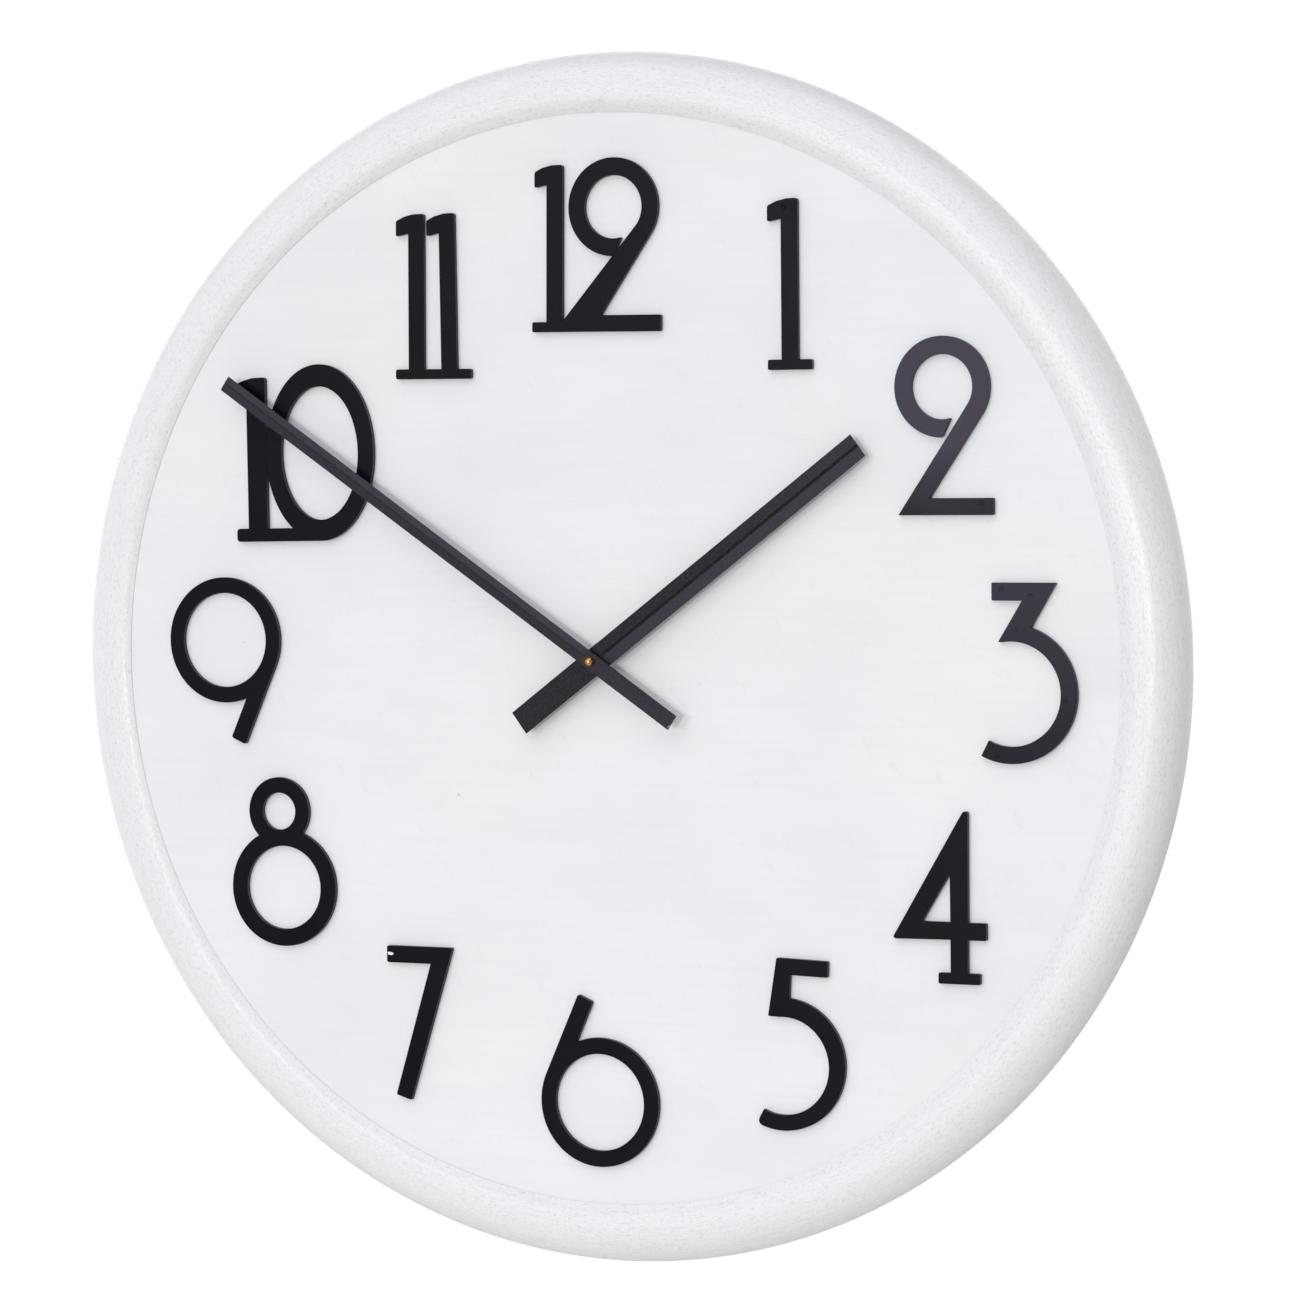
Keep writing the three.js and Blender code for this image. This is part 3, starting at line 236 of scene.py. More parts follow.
def brushed_whitewash(name, colours):
    # Whitewash brushed round a turned wooden rim: matt, with streaks that follow the turning,
    # a dry speckle and a few dark pinholes, and painted shade that darkens the inner slope beside
    # the dial. Brush hairs leave lines about 0.3 mm apart, drawn here at 0.75 to 0.9 mm so that they
    # show.
    made = shader(name, colours.whitewash, 0.4, ior=1.45)
    tree, _, place = made
    flat = add(tree, "VectorMath", {0: place, 1: (1, 0, 1)}, operation="MULTIPLY")
    reach = add(tree, "VectorMath", {0: flat}, "Value", operation="LENGTH")
    unit = add(tree, "VectorMath", {0: flat}, operation="NORMALIZE")
    depth = add(tree, "SeparateXYZ", {0: place}, "Y")
    across = add(tree, "Math", {0: reach, 1: depth}, operation="ADD")
    streaks = []
    for long_mm, fine_mm, detail in ((26, 0.9, 3), (2.6, 0.75, 2)):
        along = add(tree, "VectorMath", {0: unit, "Scale": RIM_CREST / long_mm}, operation="SCALE")
        fine = add(tree, "Math", {0: across, 1: 1 / (fine_mm * MM)}, operation="MULTIPLY")
        fine = add(tree, "CombineXYZ", {"Y": fine})
        both = add(tree, "VectorMath", {0: along, 1: fine}, operation="ADD")
        streaks.append(
            add(tree, "TexNoise", {"Vector": both, "Scale": 1.0, "Detail": detail, "Roughness": 0.6})
        )
    worn = [
        add(tree, "MapRange", {0: streak, 1: low, 2: high, 3: 0, 4: most})
        for streak, low, high, most in ((streaks[0], 0.5, 0.8, 0.3), (streaks[1], 0.53, 0.75, 0.75))
    ]
    patterns = {
        "reach": reach,
        "long": streaks[0],
        "short": streaks[1],
        "thin": add(tree, "Math", {0: worn[0], 1: worn[1]}, operation="ADD"),
        "cloud": (60, 60, 60, 2, 0.5, 0),
        "speckle": (1, 1, 1, 3, 0.65, 0),
        "holes": add(tree, "TexVoronoi", {"Vector": place, "Scale": 1 / (31 * MM)}, "Distance"),
    }
    layers = [
        ("cloud", 0.3, 0.7, 0, 0.5, shifted(colours.whitewash, 0.975)),
        ("thin", 0, 1, 0, 1, colours.whitewash_low),
        ("speckle", 0.56, 0.76, 0, 0.42, colours.whitewash_low),
        # painted shade: the inner slope, inside 326 mm from the axis, is darkened towards 0.83 of the
        # whitewash
        ("reach", 321 * MM, 326 * MM, 0.19, 0, shifted(colours.whitewash, 0.83)),
        ("holes", 0.014, 0.022, 0.5, 0, linear("#8d8783")),
        ("short", 0.3, 0.7, 0.27, 0.42),
    ]
    bumps = [("long", 0.06, 0.3), ("short", 0.02, 0.35), ("speckle", 0.02, 0.3)]
    layered(made, patterns, colours.whitewash, layers, bumps)


def brushed_dial_paint(name, colours):
    # Matt paint laid on a flat board with level strokes: almost even, with long faint brush
    # marks from side to side. The marks' lines, 2.6 mm apart, are several times a brush
    # hair's so that they show.
    made = shader(name, colours.dial, 0.6, ior=1.45)
    tree, _, place = made
    patterns = {
        "strokes": (70, 30, 2.6, 3, 0.6, 0),
        "wide": (110, 60, 60, 3, 0.5, 0),
        "warm": (170, 90, 140, 2, 0.5, 0),
        "grain": (1.4, 1.4, 0.9, 2, 0.6, 0),
        "scuff": (5, 9, 16, 4, 0.7, 0.5),
        "specks": add(tree, "TexVoronoi", {"Vector": place, "Scale": 1 / (46 * MM)}, "Distance"),
    }
    layers = [
        ("wide", 0.35, 0.68, 0, 1, shifted(colours.dial, 0.955)),
        ("warm", 0.4, 0.7, 0, 0.5, linear("#ecebec")),
        ("strokes", 0.45, 0.8, 0, 0.2, colours.dial_low),
        ("scuff", 0.6, 0.75, 0, 0.55, colours.dial_low),
        ("specks", 0.013, 0.02, 0.55, 0, linear("#8a8784")),
        ("strokes", 0.3, 0.7, 0.54, 0.66),
    ]
    layered(made, patterns, colours.dial, layers, [("strokes", 0.03, 0.25), ("grain", 0.05, 0.35)])


def satin_enamel(name, base, foot_below_sheen=None, low=0.0, high=0.0):
    # Stoved satin enamel on cut metal: deep black with a soft sheen, a slight orange peel and
    # a few dry rub marks. Two of the figures carry a painted sheen that runs from a darker foot to
    # a greyer head. The peel's real 0.5 mm waves are drawn at 1.8 mm so that they show.
    made = shader(name, base, 0.34, **{"Specular IOR Level": 0.095})
    patterns = {
        "up": add(made[0], "SeparateXYZ", {0: made[2]}, "Z"),
        "peel": (1.8, 1.8, 1.8, 2, 0.5, 0),
        "cloud": (34, 34, 34, 3, 0.5, 0),
        "rub": (18, 4, 1.1, 3, 0.7, 0.6),
    }
    layers = [
        ("cloud", 0.3, 0.75, 0, 0.4, shifted(base, 1.35)),
        ("rub", 0.7, 0.86, 0, 0.3, shifted(base, 4)),
        ("cloud", 0.3, 0.75, 0.3, 0.4),
    ]
    # painted sheen: up the figure the colour runs from the darker foot to the greyer head
    if foot_below_sheen:
        layers.insert(0, ("up", low * MM, high * MM, 0, 1, base))
    layered(made, patterns, foot_below_sheen or base, layers, [("peel", 0.05, 0.4)])


def grained_paint(name, dark, light, angle, tip_mm, tail_mm, painted_groove_shade, worn):
    # Fine-grained black paint on a sheet metal bar: a satin grain and dry fibres along the
    # hand. Painted light greys the clockwise slope of its ridge and the hand towards its tip, and
    # painted shade darkens a line in the groove. Where it has rubbed through at the tail, specks of
    # the brass below. The grain's real 0.2 mm is drawn at 0.9 mm so that it shows.
    tree, surface, place = shader(name, dark, 0.45, **{"Specular IOR Level": 0.16})
    turn = {"Vector": place, "Angle": -math.radians(angle)}
    own = add(tree, "VectorRotate", turn, rotation_type="Y_AXIS")
    parts = add(tree, "SeparateXYZ", {0: own}).node.outputs
    side, along = parts["X"], parts["Z"]
    past_boss = add(tree, "MapRange", {0: along, 1: 5 * MM, 2: 9 * MM})
    # painted light: the clockwise slope past the boss, and the hand towards its tip, take the lighter
    # colour
    right_side = add(tree, "MapRange", {0: side, 1: -0.2 * MM, 2: 0.2 * MM})
    lit = add(tree, "Math", {0: right_side, 1: past_boss}, operation="MULTIPLY")
    reach = {0: along, 1: 0.45 * tip_mm * MM, 2: tip_mm * MM, 3: 0, 4: 0.75}
    lit = add(tree, "Math", {0: lit, 1: add(tree, "MapRange", reach)}, operation="MAXIMUM")
    off_centre = add(tree, "Math", {0: side}, operation="ABSOLUTE")
    # painted shade: a darker line down the groove
    groove = add(tree, "MapRange", {0: off_centre, 1: 1.1 * MM, 2: 0.8 * MM, 3: 0, 4: painted_groove_shade})
    near_end = {0: along, 1: (5 - tail_mm) * MM, 2: -tail_mm * MM, 3: 0, 4: 0.3}
    spots = {"Vector": own, "Scale": 1 / (1.8 * MM), "Detail": 3, "Roughness": 0.7}
    spots = {0: add(tree, "TexNoise", spots), 1: add(tree, "MapRange", near_end)}
    patterns = {
        "lit": lit,
        "groove": add(tree, "Math", {0: groove, 1: past_boss}, operation="MULTIPLY"),
        "grain": (0.9, 0.9, 1.3, 3, 0.7, 0),
        "fibres": (0.8, 2, 14, 2, 0.6, 0),
        "bare": add(tree, "Math", spots, operation="ADD"),
    }
    layers = [
        ("lit", 0, 1, 0, 1, light),
        ("groove", 0, 1, 0, 1, linear("#0e0d11")),
        ("grain", 0.48, 0.72, 0, 0.5, shifted(light, 2.0)),
        ("fibres", 0.55, 0.8, 0, 0.3, shifted(light, 1.3)),
        ("bare", 0.84, 0.88, 0, 1 if worn else 0, linear("#a8874f")),
        ("grain", 0.3, 0.7, 0.4, 0.55),
    ]
    bumps = [("grain", 0.08, 0.6), ("fibres", 0.04, 0.35)]
    layered((tree, surface, own), patterns, dark, layers, bumps)


def polished_brass(name, base):
    # Turned and polished brass: warm and bright, with fine turning rings and a thin tarnish.
    # The rings' real 0.05 mm feed is drawn at 0.16 mm so that it shows.
    made = shader(name, base, 0.24, 1.0)
    tree, _, place = made
    flat = add(tree, "VectorMath", {0: place, 1: (1, 0, 1)}, operation="MULTIPLY")
    reach = add(tree, "VectorMath", {0: flat}, "Value", operation="LENGTH")
    rings = add(tree, "Math", {0: reach, 1: 1 / (0.16 * MM)}, operation="MULTIPLY")
    rings = add(tree, "CombineXYZ", {"X": rings})
    patterns = {
        "rings": add(tree, "TexNoise", {"Vector": rings, "Scale": 1.0, "Detail": 2, "Roughness": 0.5}),
        "tarnish": (2.4, 2.4, 2.4, 3, 0.5, 0),
    }
    layers = [
        ("tarnish", 0.45, 0.75, 0, 0.5, linear("#a8702f")),
        ("tarnish", 0.35, 0.7, 0.2, 0.36),
    ]
    layered(made, patterns, base, layers, [("rings", 0.02, 0.3)])


def zinc_plate(name, base):
    # Bright zinc on pressed steel: a cold grey metal with drawn lines, a patchy spangle and
    # dull spots. The lines' real 0.1 mm spacing is drawn at 0.35 mm so that it shows.
    made = shader(name, base, 0.34, 1.0)
    tree, _, place = made
    spangle = add(tree, "TexVoronoi", {"Vector": place, "Scale": 1 / (4.5 * MM)}, "Color")
    patterns = {
        "drawn": (30, 3, 0.35, 3, 0.6, 0),
        "patch": add(tree, "SeparateColor", {0: spangle}),
        "dull": (9, 9, 9, 3, 0.5, 0),
    }
    layers = [
        ("patch", 0, 1, 0, 0.22, shifted(base, 0.7)),
        ("dull", 0.5, 0.75, 0, 0.4, linear("#8b8d8e")),
        ("dull", 0.4, 0.7, 0.28, 0.5),
    ]
    layered(made, patterns, base, layers, [("drawn", 0.02, 0.35)])


def moulded_plastic(name, base, roughness=0.5, grit_mm=0.7, ior=1.53):
    # Moulded ABS or acetal: the fine spark texture of the mould, with a slight cloudiness and
    # handling marks. The texture's real grit is about 0.1 mm, drawn at 0.4 to 0.7 mm so that
    # it shows.
    patterns = {
        "grit": (grit_mm, grit_mm, grit_mm, 2, 0.6, 0),
        "cloud": (14, 14, 14, 3, 0.5, 0),
        "marks": (11, 3, 0.6, 3, 0.7, 0.8),
    }
    layers = [
        ("cloud", 0.3, 0.7, 0, 0.5, shifted(base, 1.3)),
        ("marks", 0.68, 0.85, 0, 0.3, shifted(base, 1.9)),
        ("cloud", 0.3, 0.7, roughness - 0.07, roughness + 0.07),
    ]
    layered(shader(name, base, roughness, ior=ior), patterns, base, layers, [("grit", 0.04, 0.5)])


def wool_felt(name, base):
    # Pressed wool felt: dull, with short crossed fibres that stand up a little. Wool fibres
    # are 0.03 mm thick, drawn here as 0.4 to 0.5 mm tufts so that they show.
    made = shader(name, base, 0.95, ior=1.45, **{"Sheen Weight": 0.35})
    patterns = {"fibre": (0.5, 0.5, 0.5, 4, 0.75, 0), "lay": (2.4, 2.4, 0.4, 3, 0.7, 0.5)}
    layers = [("fibre", 0.35, 0.7, 0, 1, shifted(base, 1.35))]
    layered(made, patterns, shifted(base, 0.7), layers, [("fibre", 0.3, 0.7), ("lay", 0.15, 0.5)])


def enamelled_wire(name):
    # Lacquered copper wire in close turns: the turns show as even ribs. The wire is about
    # 0.1 mm thick, and the ribs are drawn at 0.9 mm so that they show.
    made = shader(name, linear("#b8693a"), 0.3, 1.0)
    wave = {"Vector": made[2], "Scale": 1 / (0.9 * MM), "Distortion": 0.4}
    ribs = add(made[0], "TexWave", wave, "Fac", bands_direction="X")
    layers = [("ribs", 0, 1, 0, 1, linear("#c97d48"))]
    layered(made, {"ribs": ribs}, linear("#7c3f20"), layers, [("ribs", 0.06, 0.7)])


def solder_mask(name):
    # Green solder mask over etched copper: glossy, with tracks that show as lighter lines.
    made = shader(name, linear("#2f6b3c"), 0.3)
    grid = {"Vector": made[2], "Scale": 1 / (6 * MM), "Mortar Size": 0.05}
    shades = {"Color1": (0, 0, 0), "Color2": (0.1, 0.1, 0.1), "Mortar": (1, 1, 1)}
    tracks = add(made[0], "TexBrick", {**grid, **shades}, "Color")
    layers = [("tracks", 0, 1, 0, 1, linear("#4c9159"))]
    layered(made, {"tracks": tracks}, linear("#255a32"), layers, [("tracks", 0.03, 0.4)])


def cell_jacket(name):
    # Printed film shrunk on a steel can: blue at the button end with a line beside it, silver
    # elsewhere, with the film's fine creases along the cell.
    made = shader(name, linear("#9aa0a6"), 0.34, 0.3)
    along = add(made[0], "SeparateXYZ", {0: made[2]}, "X")
    line = {0: along, 1: 9.6 * MM, 2: 0.7 * MM}
    patterns = {
        "along": along,
        "crease": (22, 0.8, 0.8, 3, 0.6, 0),
        "line": add(made[0], "Math", line, operation="COMPARE"),
    }
    layers = [
        ("along", 11.9 * MM, 12.1 * MM, 0, 1, linear("#24506b")),
        ("crease", 0.5, 0.8, 0, 0.25, linear("#70777d")),
        ("line", 0, 1, 0, 1, linear("#24506b")),
    ]
    layered(made, patterns, linear("#a9afb4"), layers, [("crease", 0.03, 0.4)])


def soft_rubber(name):
    # Moulded rubber with a bloom of fine powder, drawn in 1.2 mm patches so that it shows.
    made = shader(name, linear("#1c1c1d"), 0.82, ior=1.52)
    patterns = {"bloom": (1.2, 1.2, 1.2, 4, 0.7, 0)}
    layers = [("bloom", 0.4, 0.75, 0, 0.6, linear("#3c3c3d"))]
    layered(made, patterns, linear("#161617"), layers, [("bloom", 0.06, 0.5)])


def studio_floor(name, base):
    # Pale painted board: even, with a faint roller texture.
    made = shader(name, base, 0.7, ior=1.45)
    patterns = {"roller": (12, 12, 12, 2, 0.5, 0)}
    layers = [("roller", 0.4, 0.7, 0, 0.3, shifted(base, 0.97))]
    layered(made, patterns, base, layers, [("roller", 0.2, 0.2)])


def finish(name, make, *args):
    """The material of that name, made the first time it is asked for."""
    if name not in bpy.data.materials:
        make(name, *args)
    return bpy.data.materials[name]


# ------------------------------------------------------------------ shapes
def spot(x, off, z):
    """A point from millimetres: along X, off the wall, and up."""
    return Vector((x * MM, -off * MM, z * MM))


def arc(cx, cz, radius, start, stop, radius_z=None, step=4.0):
    """Points of an arc, in degrees, anticlockwise when stop is larger."""
    count = max(3, math.ceil(abs(stop - start) / step))
    high = radius if radius_z is None else radius_z
    angles = (math.radians(start + (stop - start) * i / count) for i in range(count + 1))
    return [(cx + radius * math.cos(a), cz + high * math.sin(a)) for a in angles]


def circle(cx, cz, radius, radius_z=None, step=4.0):
    """Points of a closed circle or ellipse."""
    return arc(cx, cz, radius, 0, 360, radius_z, step)[:-1]


def rounded(points, steps=5):
    """An outline in which a point written (x, z, r) has its corner rounded by r."""
    out = []
    for i, point in enumerate(points):
        if len(point) < 3:
            out.append(point)
            continue
        here = Vector(point[:2])
        before = here + (Vector(points[i - 1][:2]) - here).normalized() * point[2]
        after = here + (Vector(points[(i + 1) % len(points)][:2]) - here).normalized() * point[2]
        for k in range(steps + 1):
            t = k / steps
            p = before * (1 - t) ** 2 + here * 2 * t * (1 - t) + after * t**2
            out.append((p.x, p.y))
    return out


def prism(corners, push):
    """A closed flat outline pushed along a vector."""
    bm = bmesh.new()
    face = bm.faces.new([bm.verts.new(c) for c in corners])
    made = bmesh.ops.extrude_face_region(bm, geom=[face])["geom"]
    bmesh.ops.translate(bm, vec=push, verts=[v for v in made if isinstance(v, bmesh.types.BMVert)])
    bmesh.ops.recalc_face_normals(bm, faces=bm.faces)
    return bm


def plate(points, front, thick):
    """A flat piece whose front face is `front` off the wall."""
    return prism([spot(x, front, z) for x, z in rounded(points)], spot(0, -thick, 0))


def peg(x, z, radius, front, long, step=7.5):
    """A round pin along Y."""
    return plate(circle(x, z, radius, step=step), front, long)


def block(x0, x1, z0, z1, front, thick):
    """A square-edged block."""
    return plate([(x0, z0), (x1, z0), (x1, z1), (x0, z1)], front, thick)


def turned(profile, steps=64, centre=(0.0, 0.0)):
    """A ring or solid turned about an axis along Y from a closed profile of (radius, off wall)."""
    bm = bmesh.new()
    x, z = centre
    verts = [bm.verts.new(spot(x + r, off, z)) for r, off in profile]
    edges = [bm.edges.new((verts[i - 1], verts[i])) for i in range(len(verts))]
    bmesh.ops.spin(
        bm,
        geom=verts + edges,
        cent=spot(x, 0, z),
        axis=(0, 1, 0),
        angle=math.tau,
        steps=steps,
        use_merge=True,
    )
    clean(bm)
    return bm


def clean(bm):
    """Closes seams and poles and points the faces outwards."""
    bmesh.ops.remove_doubles(bm, verts=bm.verts, dist=1e-7)
    bmesh.ops.dissolve_degenerate(bm, edges=bm.edges, dist=1e-7)
    bmesh.ops.delete(
        bm, geom=[e for e in bm.edges if not e.link_faces], context="EDGES"
    )
    bmesh.ops.recalc_face_normals(bm, faces=bm.faces)


def carve(bm, operation, *tools):
    """bm joined with, or cut by, other closed shapes."""
    scratch = []
    for shape in (bm, *tools):
        mesh = bpy.data.meshes.new("scratch")
        shape.to_mesh(mesh)
        shape.free()
        scratch.append(bpy.data.objects.new("scratch", mesh))
        bpy.context.scene.collection.objects.link(scratch[-1])
    body = scratch[0]
    for tool in scratch[1:]:
        step = body.modifiers.new("carve", "BOOLEAN")
        step.operation, step.solver, step.object = operation, "EXACT", tool
    bpy.context.view_layer.update()
    made = bmesh.new()
    made.from_object(body, bpy.context.evaluated_depsgraph_get())
    for one in scratch:
        mesh = one.data
        bpy.data.objects.remove(one)
        bpy.data.meshes.remove(mesh)
    clean(made)
    bmesh.ops.dissolve_limit(
        made, angle_limit=math.radians(0.4), verts=made.verts, edges=made.edges, delimit={"NORMAL"}
    )
    bmesh.ops.recalc_face_normals(made, faces=made.faces)
    return made


def ease(bm, edges, width, segments=2):
    """Rounds those edges by a width in millimetres."""
    bmesh.ops.bevel(
        bm,
        geom=edges,
        offset=width * MM,
        offset_type="OFFSET",
        segments=segments,
        profile=0.5,
        affect="EDGES",
        clamp_overlap=True,
        material=-1,
    )


def sharp(bm, degrees=35):
    """Edges where two faces meet at more than that angle."""
    limit = math.radians(degrees)
    return [e for e in bm.edges if len(e.link_faces) == 2 and e.calc_face_angle(0) > limit]


def outline_edges(bm, off):
    """Edges between a face that lies flat at that distance off the wall and a side face."""
    level = -off * MM
    return [
        e
        for e in sharp(bm, 50)
        if all(abs(v.co.y - level) < 1e-6 for v in e.verts)
        and any(abs(f.normal.y) < 0.5 for f in e.link_faces)
    ]


def turn(bm, degrees, axis="Y"):
    """Turns a piece about an axis through the origin; about Y that is clockwise from the front."""
    matrix = Matrix.Rotation(math.radians(degrees), 3, axis)
    bmesh.ops.rotate(bm, verts=bm.verts, cent=(0, 0, 0), matrix=matrix)


def shift(bm, vec):
    """Moves a piece along a vector."""
    bmesh.ops.translate(bm, vec=vec, verts=bm.verts)


def finished(name, bm, body, materials, replaced=(), smooth=38):
    """Makes a closed mesh into a piece that rides on a body."""
    if any(len(e.link_faces) != 2 for e in bm.edges):
        raise RuntimeError(f"{name} is not closed")
    mesh = bpy.data.meshes.new(name)
    bm.to_mesh(mesh)
    bm.free()
    mesh.shade_smooth()
    mesh.set_sharp_from_angle(angle=math.radians(smooth))
    for material in materials:
        mesh.materials.append(material)
    piece = bpy.data.objects.new(name, mesh)
    bpy.context.scene.collection.objects.link(piece)
    # flat faces keep their own shading beside the narrow rounds of their edges
    piece.modifiers.new("flat_faces", "WEIGHTED_NORMAL").keep_sharp = True
    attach(piece, body)
    if replaced:
        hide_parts(*replaced)
    return piece


# ------------------------------------------------------------------ numerals
ONE_HIGH = 96.6
FOOT_HIGH = 5.8


def one_stroke(stem, flag, height, foot):
    """The old-style 1: a plain stem with a short curved flag at its top left."""
    return [
        (-stem, foot),
        (stem, foot),
        (stem, height, 2),
        (-2, height - 0.2),
        (-8, height - 1.6),
        (-flag, height - 4, 1.2),
        (-flag, height - 13, 1.2),
        (-stem, height - 11.4),
    ]


def foot_slab(left, right, high, corner=1.0):
    """The slab a figure stands on."""
    return [(left, 0, corner), (right, 0, corner), (right, high, corner), (left, high, corner)]


def two_line(stroke, bar_left=0.0):
    """The 2: a round head, a straight slant that runs into it, and a base bar."""
    cx, cz, outer, slant, bar, wide = 25.3, 71.4, 28.3, 34, 9.5, 55.6
    inner, down, lean = outer - stroke, math.tan(math.radians(slant)), math.radians(-slant)
    ox, oz = cx + outer * math.cos(lean), cz + outer * math.sin(lean)
    ix, iz = cx + inner * math.cos(lean), cz + inner * math.sin(lean)
    return [
        (min(bar_left, ix - iz * down), 0),
        (wide, 0, 1),
        (wide, bar, 1),
        (ox - (oz - bar) * down, bar),
        *arc(cx, cz, outer, -slant, 266),
        (*arc(cx, cz, outer, 266, 270)[-1], 1.6),
        (*arc(cx, cz, inner, 286, 287)[-1], 1.2),
        *arc(cx, cz, inner, 282, -slant),
    ]


def six_line(stroke):
    """The 6: a ring that its straight stroke leaves at a tangent."""
    outer, slant, reach = 37.6, math.radians(24), 51.6
    near = outer - stroke
    meet = math.sqrt(outer**2 - near**2)

    def at(side, run):
        return (
            -side * math.cos(slant) + run * math.sin(slant),
            side * math.sin(slant) + run * math.cos(slant),
        )

    leave = math.degrees(math.atan2(at(near, meet)[1], at(near, meet)[0]))
    return [(*at(near, reach), 1.4), (*at(outer, reach), 1.4), *arc(0, 0, outer, 156, 360 + leave)]


THREE_LINE = [
    (-11.1, 51.8, 0.8), (6.7, 51.8), (-7.4, 28.8, 0.8),
    *arc(0, 0, 29.2, 100, -117), *arc(0, 0, 38.8, -117, 72),
    (26.8, 61.8, 0.8), (-11.1, 61.8, 0.8),
]
FOUR_LINE = [
    (-12.4, 0, 1), (12.4, 0, 1), (12.4, 6.2, 1), (5.1, 6.2), (5.1, 24.8), (16.2, 24.8, 1),
    (16.2, 34.6, 1), (5.3, 34.6), (5.4, 96.7, 1.4), (2.6, 96.7, 0.8), (-39.6, 25.4, 1),
    (-38.2, 24.4, 0.6), (-5.1, 24.8), (-5.1, 6.2), (-12.4, 6.2, 1),
]
FOUR_EYE = [(-21.9, 34.7), (-5.1, 34.7), (-5.4, 61.8)]
FIVE_LINE = [
    (-10.1, 26.9, 1), *arc(0, -1, 28, 96, -114), (-15.6, -34.6, 4), *arc(0, 0, 38, -108, 86),
    (2.9, 51.2), (25.9, 51.2, 1), (25.9, 60.5, 1), (-5.8, 60.5, 1),
]
SEVEN_LINE = [
    (5.4, -88.3, 1), (15.3, -91.3, 1), (43.6, 0, 1.6), (0, 0, 1.4), (0, -10, 1.4), (28.9, -10),
]
TEN_SLAB = [(-14.4, 0, 2.2), (43, 0), (43, 7.8), (-14.4, 7.8, 2.2)]
BIG_EYE, SMALL_EYE = circle(0, 0, 24.9), circle(-2.8, 45.6, 11.1)
TEN_EYE = circle(42.6, 52, 25.9, 39.5)

# Where each figure's own origin lies on the dial, and how far it leans clockwise.
PLACES = {
    1: (121, 165.7, 0), 2: (187.2, 83.4, 0), 3: (252.4, -15.8, 0), 4: (221, -178.4, 0),
    5: (113.8, -228.4, 1.8), 6: (-2.1, -256.3, 0), 7: (-140.6, -170, 0), 8: (-209.9, -137.9, 0),
    9: (-248.6, 9.8, 180), 10: (-224.3, 68.8, -0.6), 11: (-116.8, 164, 0.4),
    12: (-26.6, 189.8, 0.65),
}

# Studs welded to each figure's back, in the figure's own frame; they sit in holes in the dial.
STUD_RADIUS, STUD_LONG = 1.2, 5.0
STUDS = {
    1: [(0, 12), (0, 86)],
    2: [(49, 4.8), (25.3, 94.6), (8, 5)],
    3: [(-5, 56.8), (11, 55), (33.4, -6), (-11, -32.2)],
    4: [(0, 14), (0, 76), (-26, 29.6)],
    5: [(-1, 56), (33, -4), (0, 32.5)],
    6: [(-11, 54), (0, -32.9), (32.9, 0)],
    7: [(9, -5), (36, -8), (14, -76)],
    8: [(0, -30), (-2.8, 61.2)],
    9: [(-11, 54), (0, -32.9), (32.9, 0)],
    10: [(0, 14), (0, 86), (73.5, 52), (42.6, 98)],
    11: [(0, 14), (0, 86), (21.6, 14), (20.4, 84)],
    12: [(0, 14), (0, 86), (60, 4.8), (37.3, 94.6)],
}

# Small dents that the welds left in the enamel, as places on the dial.
DENTS = {
    1: [(118, 257)],
    2: [(235.9, 90)],
    3: [(247.4, 42.1), (264.1, 38.7), (255.6, 19.7), (284.6, -19.6), (244.6, -51)],
}


def moved(points, dx=0.0, dz=0.0, lean=0.0):
    """Points turned clockwise by a lean in degrees and then shifted."""
    s, c = math.sin(math.radians(lean)), math.cos(math.radians(lean))
    return [(x * c + z * s + dx, z * c - x * s + dz, *rest) for x, z, *rest in points]


def glyphs(stroke):
    """Outlines to join, and outlines to cut, for each numeral."""
    half = stroke / 2
    six = ([six_line(stroke)], [circle(0, 0, 28.2)])
    return {
        1: ([one_stroke(half, 13.4, ONE_HIGH, 1), foot_slab(-13.5, 13.5, FOOT_HIGH)], []),
        2: ([two_line(stroke)], []),
        3: ([THREE_LINE], []),
        4: ([FOUR_LINE], [FOUR_EYE]),
        5: ([FIVE_LINE], []),
        6: six,
        7: ([SEVEN_LINE], []),
        8: ([circle(0, 0, 35.1), circle(-2.8, 45.6, 20.3)], [BIG_EYE, SMALL_EYE]),
        9: six,
        10: ([one_stroke(6.4, 14.4, 97.8, 1), TEN_SLAB, circle(42.6, 52.3, 36.2, 52.3)], [TEN_EYE]),
        11: (
            [
                one_stroke(half, 13.2, ONE_HIGH, 1),
                moved(one_stroke(half, 13.2, ONE_HIGH, 1), 21.6, 0, -1),
                foot_slab(-13.6, 36, FOOT_HIGH, 1.4),
            ],
            [],
        ),
        12: (
            [
                one_stroke(half, 12.8, 96.2, 1),
                moved(two_line(stroke, -12), 12),
                foot_slab(-14.2, 24, FOOT_HIGH),
            ],
            [],
        ),
    }


